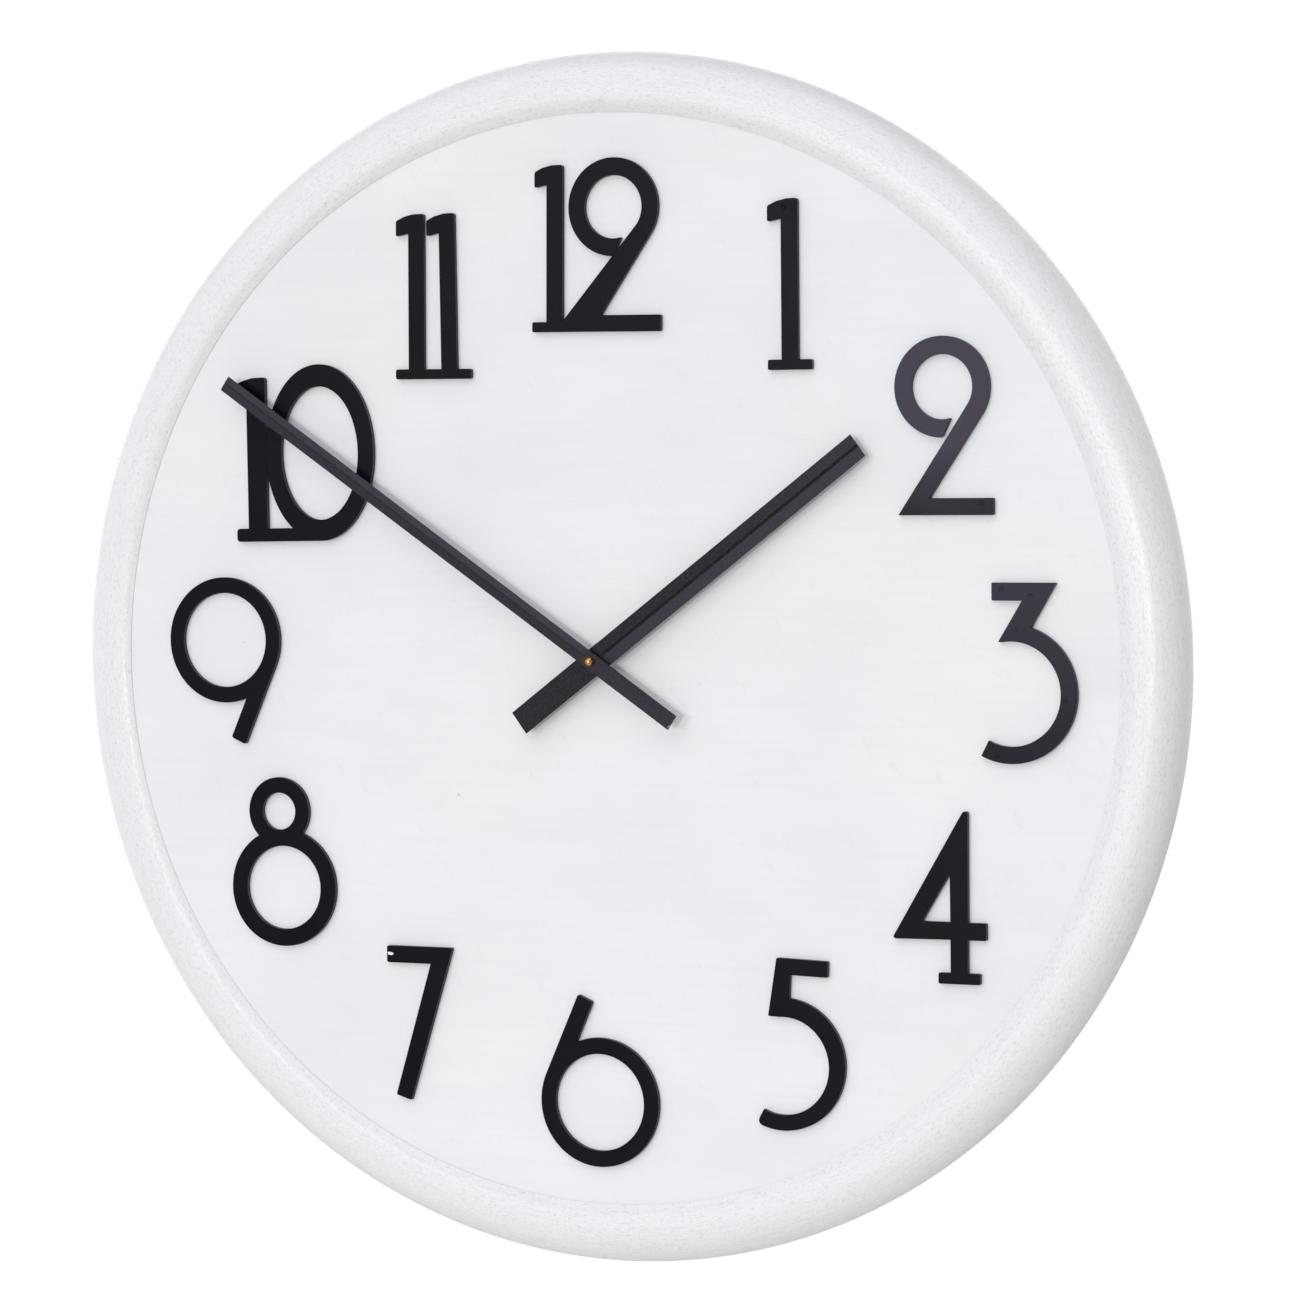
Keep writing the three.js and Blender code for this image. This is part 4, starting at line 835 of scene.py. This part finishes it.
def numeral(hour, stroke, ease_mm):
    """One numeral as a closed plate with eased front edges."""
    lines, eyes = glyphs(stroke)[hour]
    thick = FIGURE_FRONT - FIGURE_BACK

    def here(points):
        return moved(points, *PLACES[hour])

    flats = [plate(here(line), FIGURE_FRONT, thick) for line in lines]
    studs = [
        peg(x, z, STUD_RADIUS, FIGURE_BACK + thick / 2, thick / 2 + STUD_LONG, 15)
        for x, z in here(STUDS[hour])
    ]
    bm = carve(flats[0], "UNION", *flats[1:], *studs)
    cuts = [plate(here(eye), FIGURE_FRONT + 1, thick + 2) for eye in eyes]
    if cuts:
        bm = carve(bm, "DIFFERENCE", *cuts)
    ease(bm, outline_edges(bm, FIGURE_FRONT), ease_mm, 3)
    dents = []
    for x, z in DENTS.get(hour, ()):
        ball = bmesh.new()
        bmesh.ops.create_uvsphere(
            ball,
            u_segments=20,
            v_segments=12,
            radius=2.6 * MM,
            matrix=Matrix.Translation(spot(x, FIGURE_FRONT + 2.0, z)),
        )
        dents.append(ball)
    if dents:
        bm = carve(bm, "DIFFERENCE", *dents)
    for face in bm.faces:
        # side faces take the lighter edge enamel: thinner enamel with a painted highlight
        face.material_index = 1 if abs(face.normal.y) < 0.3 else 0
    return bm


# ------------------------------------------------------------------ operators
class ClockRim(bpy.types.Operator):
    """Turns the beaded wooden rim"""

    bl_idname = "clock.rim"
    bl_label = "Rim"

    def execute(self, context):
        sizes, colours = context.scene.clock_sizes, context.scene.clock_colours
        wide, crest = sizes.rim_radius / MM, sizes.rim_crest / MM
        opening, rebate = sizes.rim_opening / MM, sizes.rim_rebate / MM
        lip_back = DIAL_FRONT + 0.3
        lip = lip_back + sizes.rim_lip / MM
        slope = [
            (opening + across, lip + (RIM_FRONT - lip) * share)
            for across, share in (
                (0, 0), (1.4, 0.25), (2.9, 0.51), (4.4, 0.725),
                (5.9, 0.865), (7.4, 0.94), (9.4, 0.985), (11.4, 1),
            )
        ]
        slope.append((crest, RIM_FRONT))
        front = arc(crest, RIM_WIDEST, wide - crest, 90, 0, RIM_FRONT - RIM_WIDEST, 3)
        back = arc(crest, RIM_WIDEST, wide - crest, 0, -90, RIM_WIDEST - RIM_BACK, 5)
        profile = [
            (rebate, RIM_BACK),
            (rebate, lip_back),
            (opening, lip_back),
            *slope,
            *front[1:],
            *back[1:],
        ]
        bm = turned(profile, 512)
        finished(
            "whitewashed_rim", bm, "case",
            [finish("brushed_whitewash", brushed_whitewash, colours)], ["rim"],
        )
        return {"FINISHED"}


class ClockDial(bpy.types.Operator):
    """Makes the flat dial board with its bore and nut pocket"""

    bl_idname = "clock.dial"
    bl_label = "Dial"

    def execute(self, context):
        sizes, colours = context.scene.clock_sizes, context.scene.clock_colours
        bore, edge = sizes.dial_bore / MM, radius_of("dial_panel")
        pocket, deep = 7.6, DIAL_BACK + 2.9
        profile = [
            (bore, DIAL_FRONT - 0.25), (bore + 0.25, DIAL_FRONT),
            (40, DIAL_FRONT), (120, DIAL_FRONT), (220, DIAL_FRONT),
            (edge - 0.4, DIAL_FRONT), (edge, DIAL_FRONT - 0.4), (edge, DIAL_BACK + 0.4),
            (edge - 0.4, DIAL_BACK), (200, DIAL_BACK), (80, DIAL_BACK), (pocket + 0.3, DIAL_BACK),
            (pocket, DIAL_BACK + 0.3), (pocket, deep), (bore, deep),
        ]
        bm = turned(profile, 144)
        finished(
            "painted_dial", bm, "case",
            [finish("brushed_dial_paint", brushed_dial_paint, colours)], ["dial_panel"],
        )
        return {"FINISHED"}


class ClockNumerals(bpy.types.Operator):
    """Cuts the twelve numerals and eases their edges"""

    bl_idname = "clock.numerals"
    bl_label = "Numerals"

    def execute(self, context):
        sizes, colours = context.scene.clock_sizes, context.scene.clock_colours
        plain = finish("satin_enamel", satin_enamel, colours.figure)
        # figures 2 and 3 get a painted sheen: greyer heads over darker feet
        painted_sheen = {
            hour: finish(f"satin_enamel_{hour}", satin_enamel, linear(head), linear(foot), low, high)
            for hour, head, foot, low, high in (
                (2, "#3d3a47", "#19181f", 86, 122),
                (3, "#2f2f3a", "#17161d", -40, 42),
            )
        }
        # lighter edges: thinner enamel with a painted highlight
        edge = finish("satin_enamel_edge", satin_enamel, colours.figure_edge_thin_and_glint)
        for hour in PLACES:
            bm = numeral(hour, sizes.stroke / MM, sizes.figure_ease / MM)
            face = painted_sheen.get(hour, plain)
            finished(
                f"figure_{hour}", bm, "case", [face, edge], [f"numeral_{hour}"], 30
            )
        # a fleck of dial paint on the 7
        fleck = [
            (-140.1, -174.0), (-138.7, -173.7), (-136.6, -174.1),
            (-135.9, -174.9), (-137.2, -175.7), (-139.6, -175.4),
        ]
        fleck = plate(fleck, FIGURE_FRONT + 0.1, 0.2)
        finished(
            "paint_fleck", fleck, "case",
            [finish("brushed_dial_paint", brushed_dial_paint, colours)],
        )
        return {"FINISHED"}


def hand_bar(width, tip, tail, front, back, groove, hole):
    """A flat bar with a ridge on each side of a groove that runs from the boss to the tip."""
    half, cut = width / 2, groove / 2
    thick, fall, deep = front - back, 0.34, 0.42
    start = 7.0

    def height(x, full):
        if not full:
            return thick
        if abs(x) < 0.01:
            return thick - deep
        return thick if abs(x) < cut + 0.01 else thick - fall

    bm = bmesh.new()
    across = [(-half, 0.0), (half, 0.0), *((x, height(x, False)) for x in (half, cut, 0, -cut, -half))]
    verts = [bm.verts.new(spot(x, back + h, -tail)) for x, h in across]
    end = tail_end = bm.faces.new(verts)
    for z, full in ((start - 1.5, False), (start + 1.0, True), (tip, True)):
        made = bmesh.ops.extrude_face_region(bm, geom=[end])["geom"]
        if end is not tail_end:
            bmesh.ops.delete(bm, geom=[end], context="FACES_ONLY")
        end = next(g for g in made if isinstance(g, bmesh.types.BMFace))
        for vert in end.verts:
            vert.co.z = z * MM
            if -vert.co.y / MM > back + thick / 4:
                vert.co.y = -(back + height(vert.co.x / MM, full)) * MM
    bmesh.ops.recalc_face_normals(bm, faces=bm.faces)
    bm = carve(bm, "DIFFERENCE", peg(0, 0, hole, front + 1, thick + 2))
    ease(bm, sharp(bm, 60), 0.13, 2)
    return bm


class ClockHands(bpy.types.Operator):
    """Makes the two grooved bar hands"""

    bl_idname = "clock.hands"
    bl_label = "Hands"

    def execute(self, context):
        sizes, colours = context.scene.clock_sizes, context.scene.clock_colours
        groove = sizes.groove / MM
        hour = hand_bar(
            sizes.hour_width / MM, sizes.hour_tip / MM, sizes.hour_tail / MM,
            HOUR_FRONT, HOUR_BACK, groove, 3.4,
        )
        turn(hour, HOUR_ANGLE)
        paint = finish(
            "grained_paint_hour", grained_paint,
            colours.hand_dark, colours.hand_painted_light, HOUR_ANGLE, HOUR_TIP, HOUR_TAIL, 1.0, False,
        )
        finished("hour_bar", hour, "hour", [paint], ["hour_hand"], 3)
        minute = hand_bar(
            sizes.minute_width / MM, sizes.minute_tip / MM, sizes.minute_tail / MM,
            MINUTE_FRONT, MINUTE_BACK, groove, 2.3,
        )
        turn(minute, MINUTE_ANGLE)
        paint = finish(
            "grained_paint_minute", grained_paint,
            shifted(colours.hand_dark, 2.2), colours.hand_painted_light,
            MINUTE_ANGLE, MINUTE_TIP, MINUTE_TAIL, 0.3, True,
        )
        finished("minute_bar", minute, "minute", [paint], ["minute_hand"], 3)
        return {"FINISHED"}


class ClockCentre(bpy.types.Operator):
    """Turns the brass collets, bush and domed nut at the centre"""

    bl_idname = "clock.centre"
    bl_label = "Centre fittings"

    def execute(self, context):
        sizes, colours = context.scene.clock_sizes, context.scene.clock_colours
        brass = finish("polished_brass", polished_brass, colours.brass)

        def collet(name, node_name, radius, bore, body):
            front, back = off_wall(node_name)
            step = radius - 0.9
            profile = [
                (bore, front - 0.1), (bore + 0.1, front), (step - 0.15, front), (step, front - 0.15),
                (step, front - 1.2), (radius - 0.15, front - 1.2), (radius, front - 1.35),
                (radius, back + 0.25), (radius - 0.25, back), (bore, back),
            ]
            finished(name, turned(profile, 56), body, [brass], [node_name])

        collet("hour_boss", "hour_collet", 4.2, 2.6, "hour")
        collet("minute_boss", "minute_collet", 3.1, 1.8, "minute")
        radius = sizes.cap_nut / MM
        front, back = off_wall("cap_nut")
        dome = front - radius
        profile = [
            (1.5, back), (radius - 0.2, back), (radius, back + 0.2), (radius, dome - 0.1),
            *arc(0, dome, radius, 0, 90, step=9), (0, back + 2.5), (1.5, back + 2.5),
        ]
        finished("domed_nut", turned(profile, 64), "minute", [brass], ["cap_nut"])
        front, back = off_wall("mount_bush")
        ridges = []
        for i in range(9):
            at = front - 0.5 - i * 0.7
            ridges += [(4.0, at), (3.78, at - 0.35)]
        profile = [(2.7, front), (3.7, front), *ridges, (4.0, front - 7.2), (4.0, back), (2.7, back)]
        finished("threaded_bush", turned(profile, 48), "case", [brass], ["mount_bush"])
        return {"FINISHED"}


def pan_head(radius, high, shank_radius, shank_long):
    """A cross-recess screw along Y, its head's seat at the origin and its head toward +Y."""
    dome = arc(0, -high * 0.35, radius, 0, 90, -high * 0.65, step=15)
    bm = turned([(0, 0), (radius, 0), *dome[:-1], (0, -high)], 32)
    recess = radius * 0.62
    arm = radius * 0.16
    deep = high * 0.75
    bm = carve(
        bm,
        "DIFFERENCE",
        block(-recess, recess, -arm, arm, -high + deep, deep + 1),
        block(-arm, arm, -recess, recess, -high + deep, deep + 1),
    )
    shank = [
        (0, shank_long), (0, -0.05), (shank_radius, -0.05),
        (shank_radius, shank_long - 2), (0.2, shank_long),
    ]
    return carve(bm, "UNION", turned(shank, 24))


class ClockBackFittings(bpy.types.Operator):
    """Makes the felt pads, dial clips, hanger plate and their screws"""

    bl_idname = "clock.back_fittings"
    bl_label = "Back fittings"

    def execute(self, context):
        colours = context.scene.clock_colours
        zinc = finish("zinc_plate", zinc_plate, colours.zinc)
        felt = finish("wool_felt", wool_felt, colours.felt)
        for i in (1, 2, 3):
            low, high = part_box(f"wall_pad_{i}")
            middle, radius = (low + high) / 2, (high.x - low.x) / 2 / MM
            profile = [
                (0, PAD_FRONT), (radius - 0.1, PAD_FRONT), (radius, PAD_FRONT - 0.2),
                (radius, 0.25), (radius - 0.3, 0), (0, 0),
            ]
            pad = turned(profile, 40, (middle.x / MM, middle.z / MM))
            finished(f"felt_pad_{i}", pad, "case", [felt], [f"wall_pad_{i}"])

        wall = RIM_REBATE * math.cos(math.pi / RIM_SIDES) - 0.6
        foot = DIAL_BACK - 0.1
        clip_thick, clip_foot, clip_rise, clip_wide = 1.2, 16, 18, 18
        for i, degrees in enumerate(CLIP_ANGLES, 1):
            side = [
                (wall - clip_foot, foot), (wall, foot), (wall, foot - clip_rise),
                (wall - clip_thick, foot - clip_rise), (wall - clip_thick, foot - clip_thick),
                (wall - clip_foot, foot - clip_thick),
            ]
            bm = prism([spot(-clip_wide / 2, off, r) for r, off in side], spot(clip_wide, 0, 0))
            across = [e for e in sharp(bm, 60) if abs(e.verts[0].co.x - e.verts[1].co.x) > 0.01]
            ease(bm, across, 0.35, 3)
            hole = turned([(0, -8), (1.8, -8), (1.8, 8), (0, 8)], 28)
            turn(hole, 90, "X")
            shift(hole, spot(0, CLIP_SCREW_OFF, wall))
            bm = carve(bm, "DIFFERENCE", hole)
            ease(bm, sharp(bm, 70), 0.12, 2)
            turn(bm, degrees)
            finished(f"clip_{i}", bm, "case", [zinc], [f"dial_clip_{i}"])
            screw = pan_head(radius=3.0, high=1.8, shank_radius=1.5, shank_long=12.7)
            turn(screw, -90, "X")
            shift(screw, spot(0, CLIP_SCREW_OFF, wall - clip_thick - 0.1))
            turn(screw, degrees)
            finished(
                f"clip_screw_{i}", screw, "case", [zinc], [f"dial_clip_screw_{i}"]
            )

        ear, ear_high, wide, top, out = 41, 12, 13, 78, PLATE_FRONT - 11
        low, high = CASE_HALF + 6, CASE_HALF + 15
        flat = plate(
            [(x * ear, z * ear_high / 2, 3) for x, z in ((-1, -1), (1, -1), (1, 1), (-1, 1))],
            PLATE_FRONT, PLATE_THICK,
        )
        spine = [(-wide, -14, 3), (wide, -14, 3), (wide, 12), (-wide, 12)]
        spine = plate(spine, PLATE_FRONT, PLATE_THICK)
        bend = [
            (PLATE_FRONT, 4), (PLATE_FRONT - PLATE_THICK, 4), (PLATE_FRONT - PLATE_THICK, low),
            (out - PLATE_THICK, high), (out - PLATE_THICK, top), (out, top), (out, high),
            (PLATE_FRONT, low + 1),
        ]
        bent = prism([spot(-wide, off, z) for off, z in bend], spot(2 * wide, 0, 0))
        bm = carve(flat, "UNION", spine, bent)
        neck = math.degrees(math.acos(SLOT_RADIUS / KEYHOLE_RADIUS))
        keyhole = [
            *arc(0, KEYHOLE_UP, KEYHOLE_RADIUS, 180 - neck, 360 + neck, step=6),
            *arc(0, SLOT_UP, SLOT_RADIUS, 0, 180, step=10),
        ]
        corners = [
            [
                (side * (wide + 1), top - 3), (side * wide, top - 3), (side * (wide - 3), top),
                (side * (wide - 3), top + 1), (side * (wide + 1), top + 1),
            ]
            for side in (-1, 1)
        ]
        bm = carve(
            bm,
            "DIFFERENCE",
            plate(keyhole, out + 4, 10),
            peg(0, 0, 4.3, PLATE_FRONT + 2, 6),
            *(peg(x, 0, 1.9, PLATE_FRONT + 2, 6, 15) for x in EAR_SCREWS),
            *(plate(corner, out + 4, 10) for corner in corners),
        )
        ease(bm, sharp(bm, 55), 0.2, 2)
        finished("hanger", bm, "case", [zinc], ["hanger_plate"])
        for i, x in enumerate(EAR_SCREWS, 1):
            screw = pan_head(radius=3.2, high=1.8, shank_radius=1.6, shank_long=7.4)
            shift(screw, spot(x, PLATE_FRONT - PLATE_THICK - 0.1, 0))
            finished(
                f"hanger_screw_head_{i}", screw, "case", [zinc], [f"hanger_screw_{i}"]
            )
        return {"FINISHED"}


def square(side, corner):
    """Outline of a square about the axis, its corners rounded."""
    return [(x * side, z * side, corner) for x, z in ((-1, -1), (1, -1), (1, 1), (-1, 1))]


class ClockMovement(bpy.types.Operator):
    """Moulds the movement's case, cover and setting knob"""

    bl_idname = "clock.movement"
    bl_label = "Movement"

    def execute(self, context):
        colours = context.scene.clock_colours
        black = finish("moulded_black_abs", moulded_plastic, colours.case, 0.5)
        grey = finish("moulded_grey_abs", moulded_plastic, colours.cover, 0.46)
        inside, past, inner = CASE_HALF - CASE_WALL, CASE_HALF + 1, CASE_FRONT - CASE_WALL
        shell = plate(square(CASE_HALF, 2), CASE_FRONT, CASE_FRONT - CASE_BACK)
        ease(shell, outline_edges(shell, CASE_FRONT), 0.8, 3)
        bm = carve(
            shell,
            "DIFFERENCE",
            block(-inside, inside, WORKS_FLOOR, inside, inner, 20),
            block(-inside, inside, BAY_FLOOR, BAY_TOP, inner, 20),
            block(-past, past, WORKS_FLOOR - CASE_WALL / 2, past, COVER_FRONT + 0.1, 5),
            peg(0, 0, 4.05, CASE_FRONT + 1, 5),
            # finger notches in the bay's outer wall, to lift the cell out
            plate(circle(0, -CASE_HALF - 3, 9, step=8), CASE_BACK + 4.5, 6),
        )
        # low ribs on the floor of the bay
        ribs = [
            block(x - 0.4, x + 0.4, BAY_FLOOR + 1, BAY_TOP - 1, inner + 0.05, 0.33)
            for x in (-16, -5, 5, 16)
        ]
        bm = carve(bm, "UNION", *ribs)
        mouth = [
            e for e in sharp(bm, 60) if all(abs(v.co.y + CASE_BACK * MM) < 1e-6 for v in e.verts)
        ]
        ease(bm, mouth, 0.25, 2)
        finished("moulded_case", bm, "case", [black], ["movement_case"])

        low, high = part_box("setting_knob")
        knob_x = (low.x + high.x) / 2 / MM
        knob_z = (low.z + high.z) / 2 / MM
        cover_low = WORKS_FLOOR - CASE_WALL / 2 + 0.1
        lid = [
            (-CASE_HALF, cover_low), (CASE_HALF, cover_low),
            (CASE_HALF, CASE_HALF, 2), (-CASE_HALF, CASE_HALF, 2),
        ]
        lid = plate(lid, COVER_FRONT, COVER_FRONT - COVER_BACK)
        arrow = [
            *arc(knob_x, knob_z, 8.4, 60, 150, step=6),
            *reversed(arc(knob_x, knob_z, 7.7, 60, 150, step=6)),
        ]
        bm = carve(
            lid,
            "DIFFERENCE",
            peg(knob_x, knob_z, 1.35, COVER_FRONT + 1, 4, 12),
            # a shallow panel, four stake dimples and a setting arrow's arc
            plate([(-24, -4, 1.5), (8, -4, 1.5), (8, 22, 1.5), (-24, 22, 1.5)], COVER_BACK + 0.3, 1),
            *(peg(x, z, 1.3, COVER_BACK + 0.5, 1, 15) for x in (-25.6, 25.6) for z in (-7.6, 25.4)),
            plate(arrow, COVER_BACK + 0.25, 1),
        )
        ease(bm, outline_edges(bm, COVER_BACK), 0.18, 2)
        finished("moulded_cover", bm, "case", [grey], ["movement_cover"])

        front, back = off_wall("setting_knob")
        rim = []
        for i in range(144):
            reach, angle = 6.0 if i % 4 < 2 else 5.6, math.radians(i * 2.5)
            rim.append((reach * math.sin(angle) + knob_x, reach * math.cos(angle) + knob_z))
        knob = plate(rim, back + 4, 4)
        ease(knob, outline_edges(knob, back), 0.1, 1)
        middle = (knob_x, knob_z)
        dish = [
            (0, back + 0.5), (2.2, back + 0.6), (4.6, back + 0.3), (4.9, back - 0.5), (0, back - 0.5),
        ]
        knob = carve(knob, "DIFFERENCE", turned(dish, 48, middle))
        stem = turned([(0, front), (1.2, front), (1.2, back + 3.5), (0, back + 3.5)], 24, middle)
        pinion = turned([(0, front), (2.2, front), (2.2, front - 1.6), (0, front - 1.6)], 30, middle)
        knob = carve(knob, "UNION", stem, pinion)
        finished("serrated_knob", knob, "setting", [grey], ["setting_knob"])
        return {"FINISHED"}


class ClockCell(bpy.types.Operator):
    """Turns the AA cell in the battery bay"""

    bl_idname = "clock.cell"
    bl_label = "Cell"

    def execute(self, context):
        colours = context.scene.clock_colours
        low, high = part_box("battery_cell")
        radius = (high.z - low.z) / 2 / MM
        long = (high.x - low.x) / MM
        # drawn along Y from its flat end and then laid along X, its button at +X
        profile = [
            (0, 0), (radius - 1.3, 0), (radius - 1.1, 0.25), (radius - 0.5, 0.25), (radius, 0.7),
            (radius, long - 2.4), (radius - 0.35, long - 1.9), (radius - 0.9, long - 1.7),
            (radius - 1.5, long - 1.9), (3.1, long - 1.9), (2.9, long - 1.3), (2.75, long - 0.35),
            (2.4, long), (0, long),
        ]
        bm = turned(profile, 72)
        for face in bm.faces:
            middle = face.calc_center_median()
            reach = math.hypot(middle.x, middle.z) / MM
            face.material_index = 1 if reach < radius - 1.0 else 0
        turn(bm, 90, "Z")
        shift(bm, (low.x, (low.y + high.y) / 2, (low.z + high.z) / 2))
        zinc = finish("zinc_plate", zinc_plate, colours.zinc)
        finished(
            "cell", bm, "battery",
            [finish("cell_jacket_film", cell_jacket), zinc], ["battery_cell"],
        )
        return {"FINISHED"}


class ClockCarried(bpy.types.Operator):
    """Gives the pieces kept from the frame their finishes"""

    bl_idname = "clock.carried"
    bl_label = "Kept pieces"

    def execute(self, context):
        colours = context.scene.clock_colours
        brass = finish("polished_brass", polished_brass, colours.brass)
        zinc = finish("zinc_plate", zinc_plate, colours.zinc)
        grey = finish("moulded_grey_abs", moulded_plastic, colours.cover, 0.46)
        black = finish("moulded_black_abs", moulded_plastic, colours.case, 0.5)
        acetal = finish("natural_acetal", moulded_plastic, colours.acetal, 0.38, 0.4, 1.48)
        kept = {
            "bush_nut": brass, "centre_wheel": brass,
            "contact_negative": zinc, "contact_positive": zinc, "stator": zinc, "quartz_crystal": zinc,
            "cannon_pinion": zinc, "rotor": zinc,
            "train_plate": grey, "driver_chip": black,
            "hour_wheel": acetal, "minute_wheel": acetal, "third_wheel": acetal,
            "seconds_wheel": acetal, "intermediate_wheel": acetal,
            "rubber_washer": finish("soft_rubber", soft_rubber),
            "coil": finish("enamelled_copper_wire", enamelled_wire),
            "circuit_board": finish("solder_mask_board", solder_mask),
        }
        for name, material in kept.items():
            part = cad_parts[name]
            part.data.materials.clear()
            part.data.materials.append(material)
        return {"FINISHED"}


# ------------------------------------------------------------------ stage
VIEW_TARGET = Vector((0.03117, -0.035, 0.0064))
VIEW_DISTANCE = 2.58565
VIEW_AZIMUTH, VIEW_ELEVATION, VIEW_ROLL = 24.827, 2.423, 0.5
VIEW_LENS = 4500 / 1300 * 36


def from_direction(azimuth, elevation):
    """Unit vector toward a point that far round to the right and up from straight in front."""
    a, e = math.radians(azimuth), math.radians(elevation)
    return Vector((math.sin(a) * math.cos(e), -math.cos(a) * math.cos(e), math.sin(e)))


class ClockStage(bpy.types.Operator):
    """Sets up the floor, the soft lights and the camera"""

    bl_idname = "clock.stage"
    bl_label = "Stage"

    def execute(self, context):
        scene, colours = context.scene, context.scene.clock_colours
        bm = bmesh.new()
        bmesh.ops.create_circle(
            bm, cap_ends=True, segments=96, radius=3.0, matrix=Matrix.Translation((0, 0, -1.2))
        )
        mesh = bpy.data.meshes.new("floor")
        bm.to_mesh(mesh)
        bm.free()
        mesh.materials.append(finish("studio_floor", studio_floor, colours.floor))
        floor = bpy.data.objects.new("floor", mesh)
        scene.collection.objects.link(floor)

        def soft_light(name, azimuth, elevation, spread, strength, tint):
            data = bpy.data.lights.new(name, "SUN")
            data.angle, data.energy, data.color = math.radians(2 * spread), strength, tint
            lamp = bpy.data.objects.new(name, data)
            toward = from_direction(azimuth, elevation)
            lamp.location = toward * 3
            lamp.rotation_euler = toward.to_track_quat("Z", "Y").to_euler()
            scene.collection.objects.link(lamp)

        soft_light("front", 5, 1, 2.5, 0.74, (1.0, 0.99, 0.98))
        soft_light("front_panel", -15, 5, 7, 0.5, (1.0, 1.0, 1.0))
        soft_light("top_front", 0, 50, 30, 1.0, (0.94, 0.975, 1.0))
        soft_light("low_front", 24, -25, 28, 0.14, (1.0, 0.95, 0.94))
        soft_light("window", -62, 28, 30, 0.34, (0.92, 0.96, 1.0))
        soft_light("low_left", -105, -15, 30, 0.55, (0.98, 0.985, 1.0))
        soft_light("back_left", -150, 8, 35, 1.2, (0.98, 0.99, 1.0))
        soft_light("back_right", 145, 20, 35, 1.1, (1.0, 0.99, 0.98))

        world = bpy.data.worlds.new("white_studio")
        world.use_nodes = True
        tree = world.node_tree
        tree.nodes.clear()
        seen = add(tree, "Background", {"Color": (1, 1, 1), "Strength": 1.0})
        fill = add(tree, "Background", {"Color": (1.0, 0.98, 0.98), "Strength": 0.3})
        ray = add(tree, "LightPath", {}, "Is Camera Ray")
        both = add(tree, "MixShader", {0: ray, 1: fill, 2: seen})
        add(tree, "OutputWorld", {0: both})
        scene.world = world
        scene.view_settings.view_transform = "Standard"

        toward = from_direction(VIEW_AZIMUTH, VIEW_ELEVATION)
        data = bpy.data.cameras.new("camera")
        data.lens, data.sensor_width, data.clip_end = VIEW_LENS, 36, 100
        camera = bpy.data.objects.new("camera", data)
        camera.location = VIEW_TARGET + toward * VIEW_DISTANCE
        roll = Matrix.Rotation(math.radians(-VIEW_ROLL), 4, "Z")
        camera.rotation_euler = (toward.to_track_quat("Z", "Y").to_matrix().to_4x4() @ roll).to_euler()
        scene.collection.objects.link(camera)
        scene.camera = camera
        return {"FINISHED"}


# ------------------------------------------------------------------ add-on
STEPS = (
    ClockRim, ClockDial, ClockNumerals, ClockHands, ClockCentre, ClockBackFittings,
    ClockMovement, ClockCell, ClockCarried, ClockStage,
)


class ClockPanel(bpy.types.Panel):
    """Lists the clock's operators, sizes and colours"""

    bl_idname = "VIEW3D_PT_clock"
    bl_label = "Wall Clock"
    bl_space_type = "VIEW_3D"
    bl_region_type = "UI"
    bl_category = "Clock"

    def draw(self, context):
        for step in STEPS:
            self.layout.operator(step.bl_idname)
        for group in (context.scene.clock_sizes, context.scene.clock_colours):
            box = self.layout.box()
            for name in group.__annotations__:
                box.prop(group, name)


CLASSES = (ClockSizes, ClockColours, *STEPS, ClockPanel)


def register():
    for one in CLASSES:
        bpy.utils.register_class(one)
    bpy.types.Scene.clock_sizes = PointerProperty(type=ClockSizes)
    bpy.types.Scene.clock_colours = PointerProperty(type=ClockColours)


def unregister():
    del bpy.types.Scene.clock_colours
    del bpy.types.Scene.clock_sizes
    for one in reversed(CLASSES):
        bpy.utils.unregister_class(one)


def main():
    register()
    for step in STEPS:
        family, name = step.bl_idname.split(".")
        getattr(getattr(bpy.ops, family), name)()


if __name__ == "__main__":
    main()
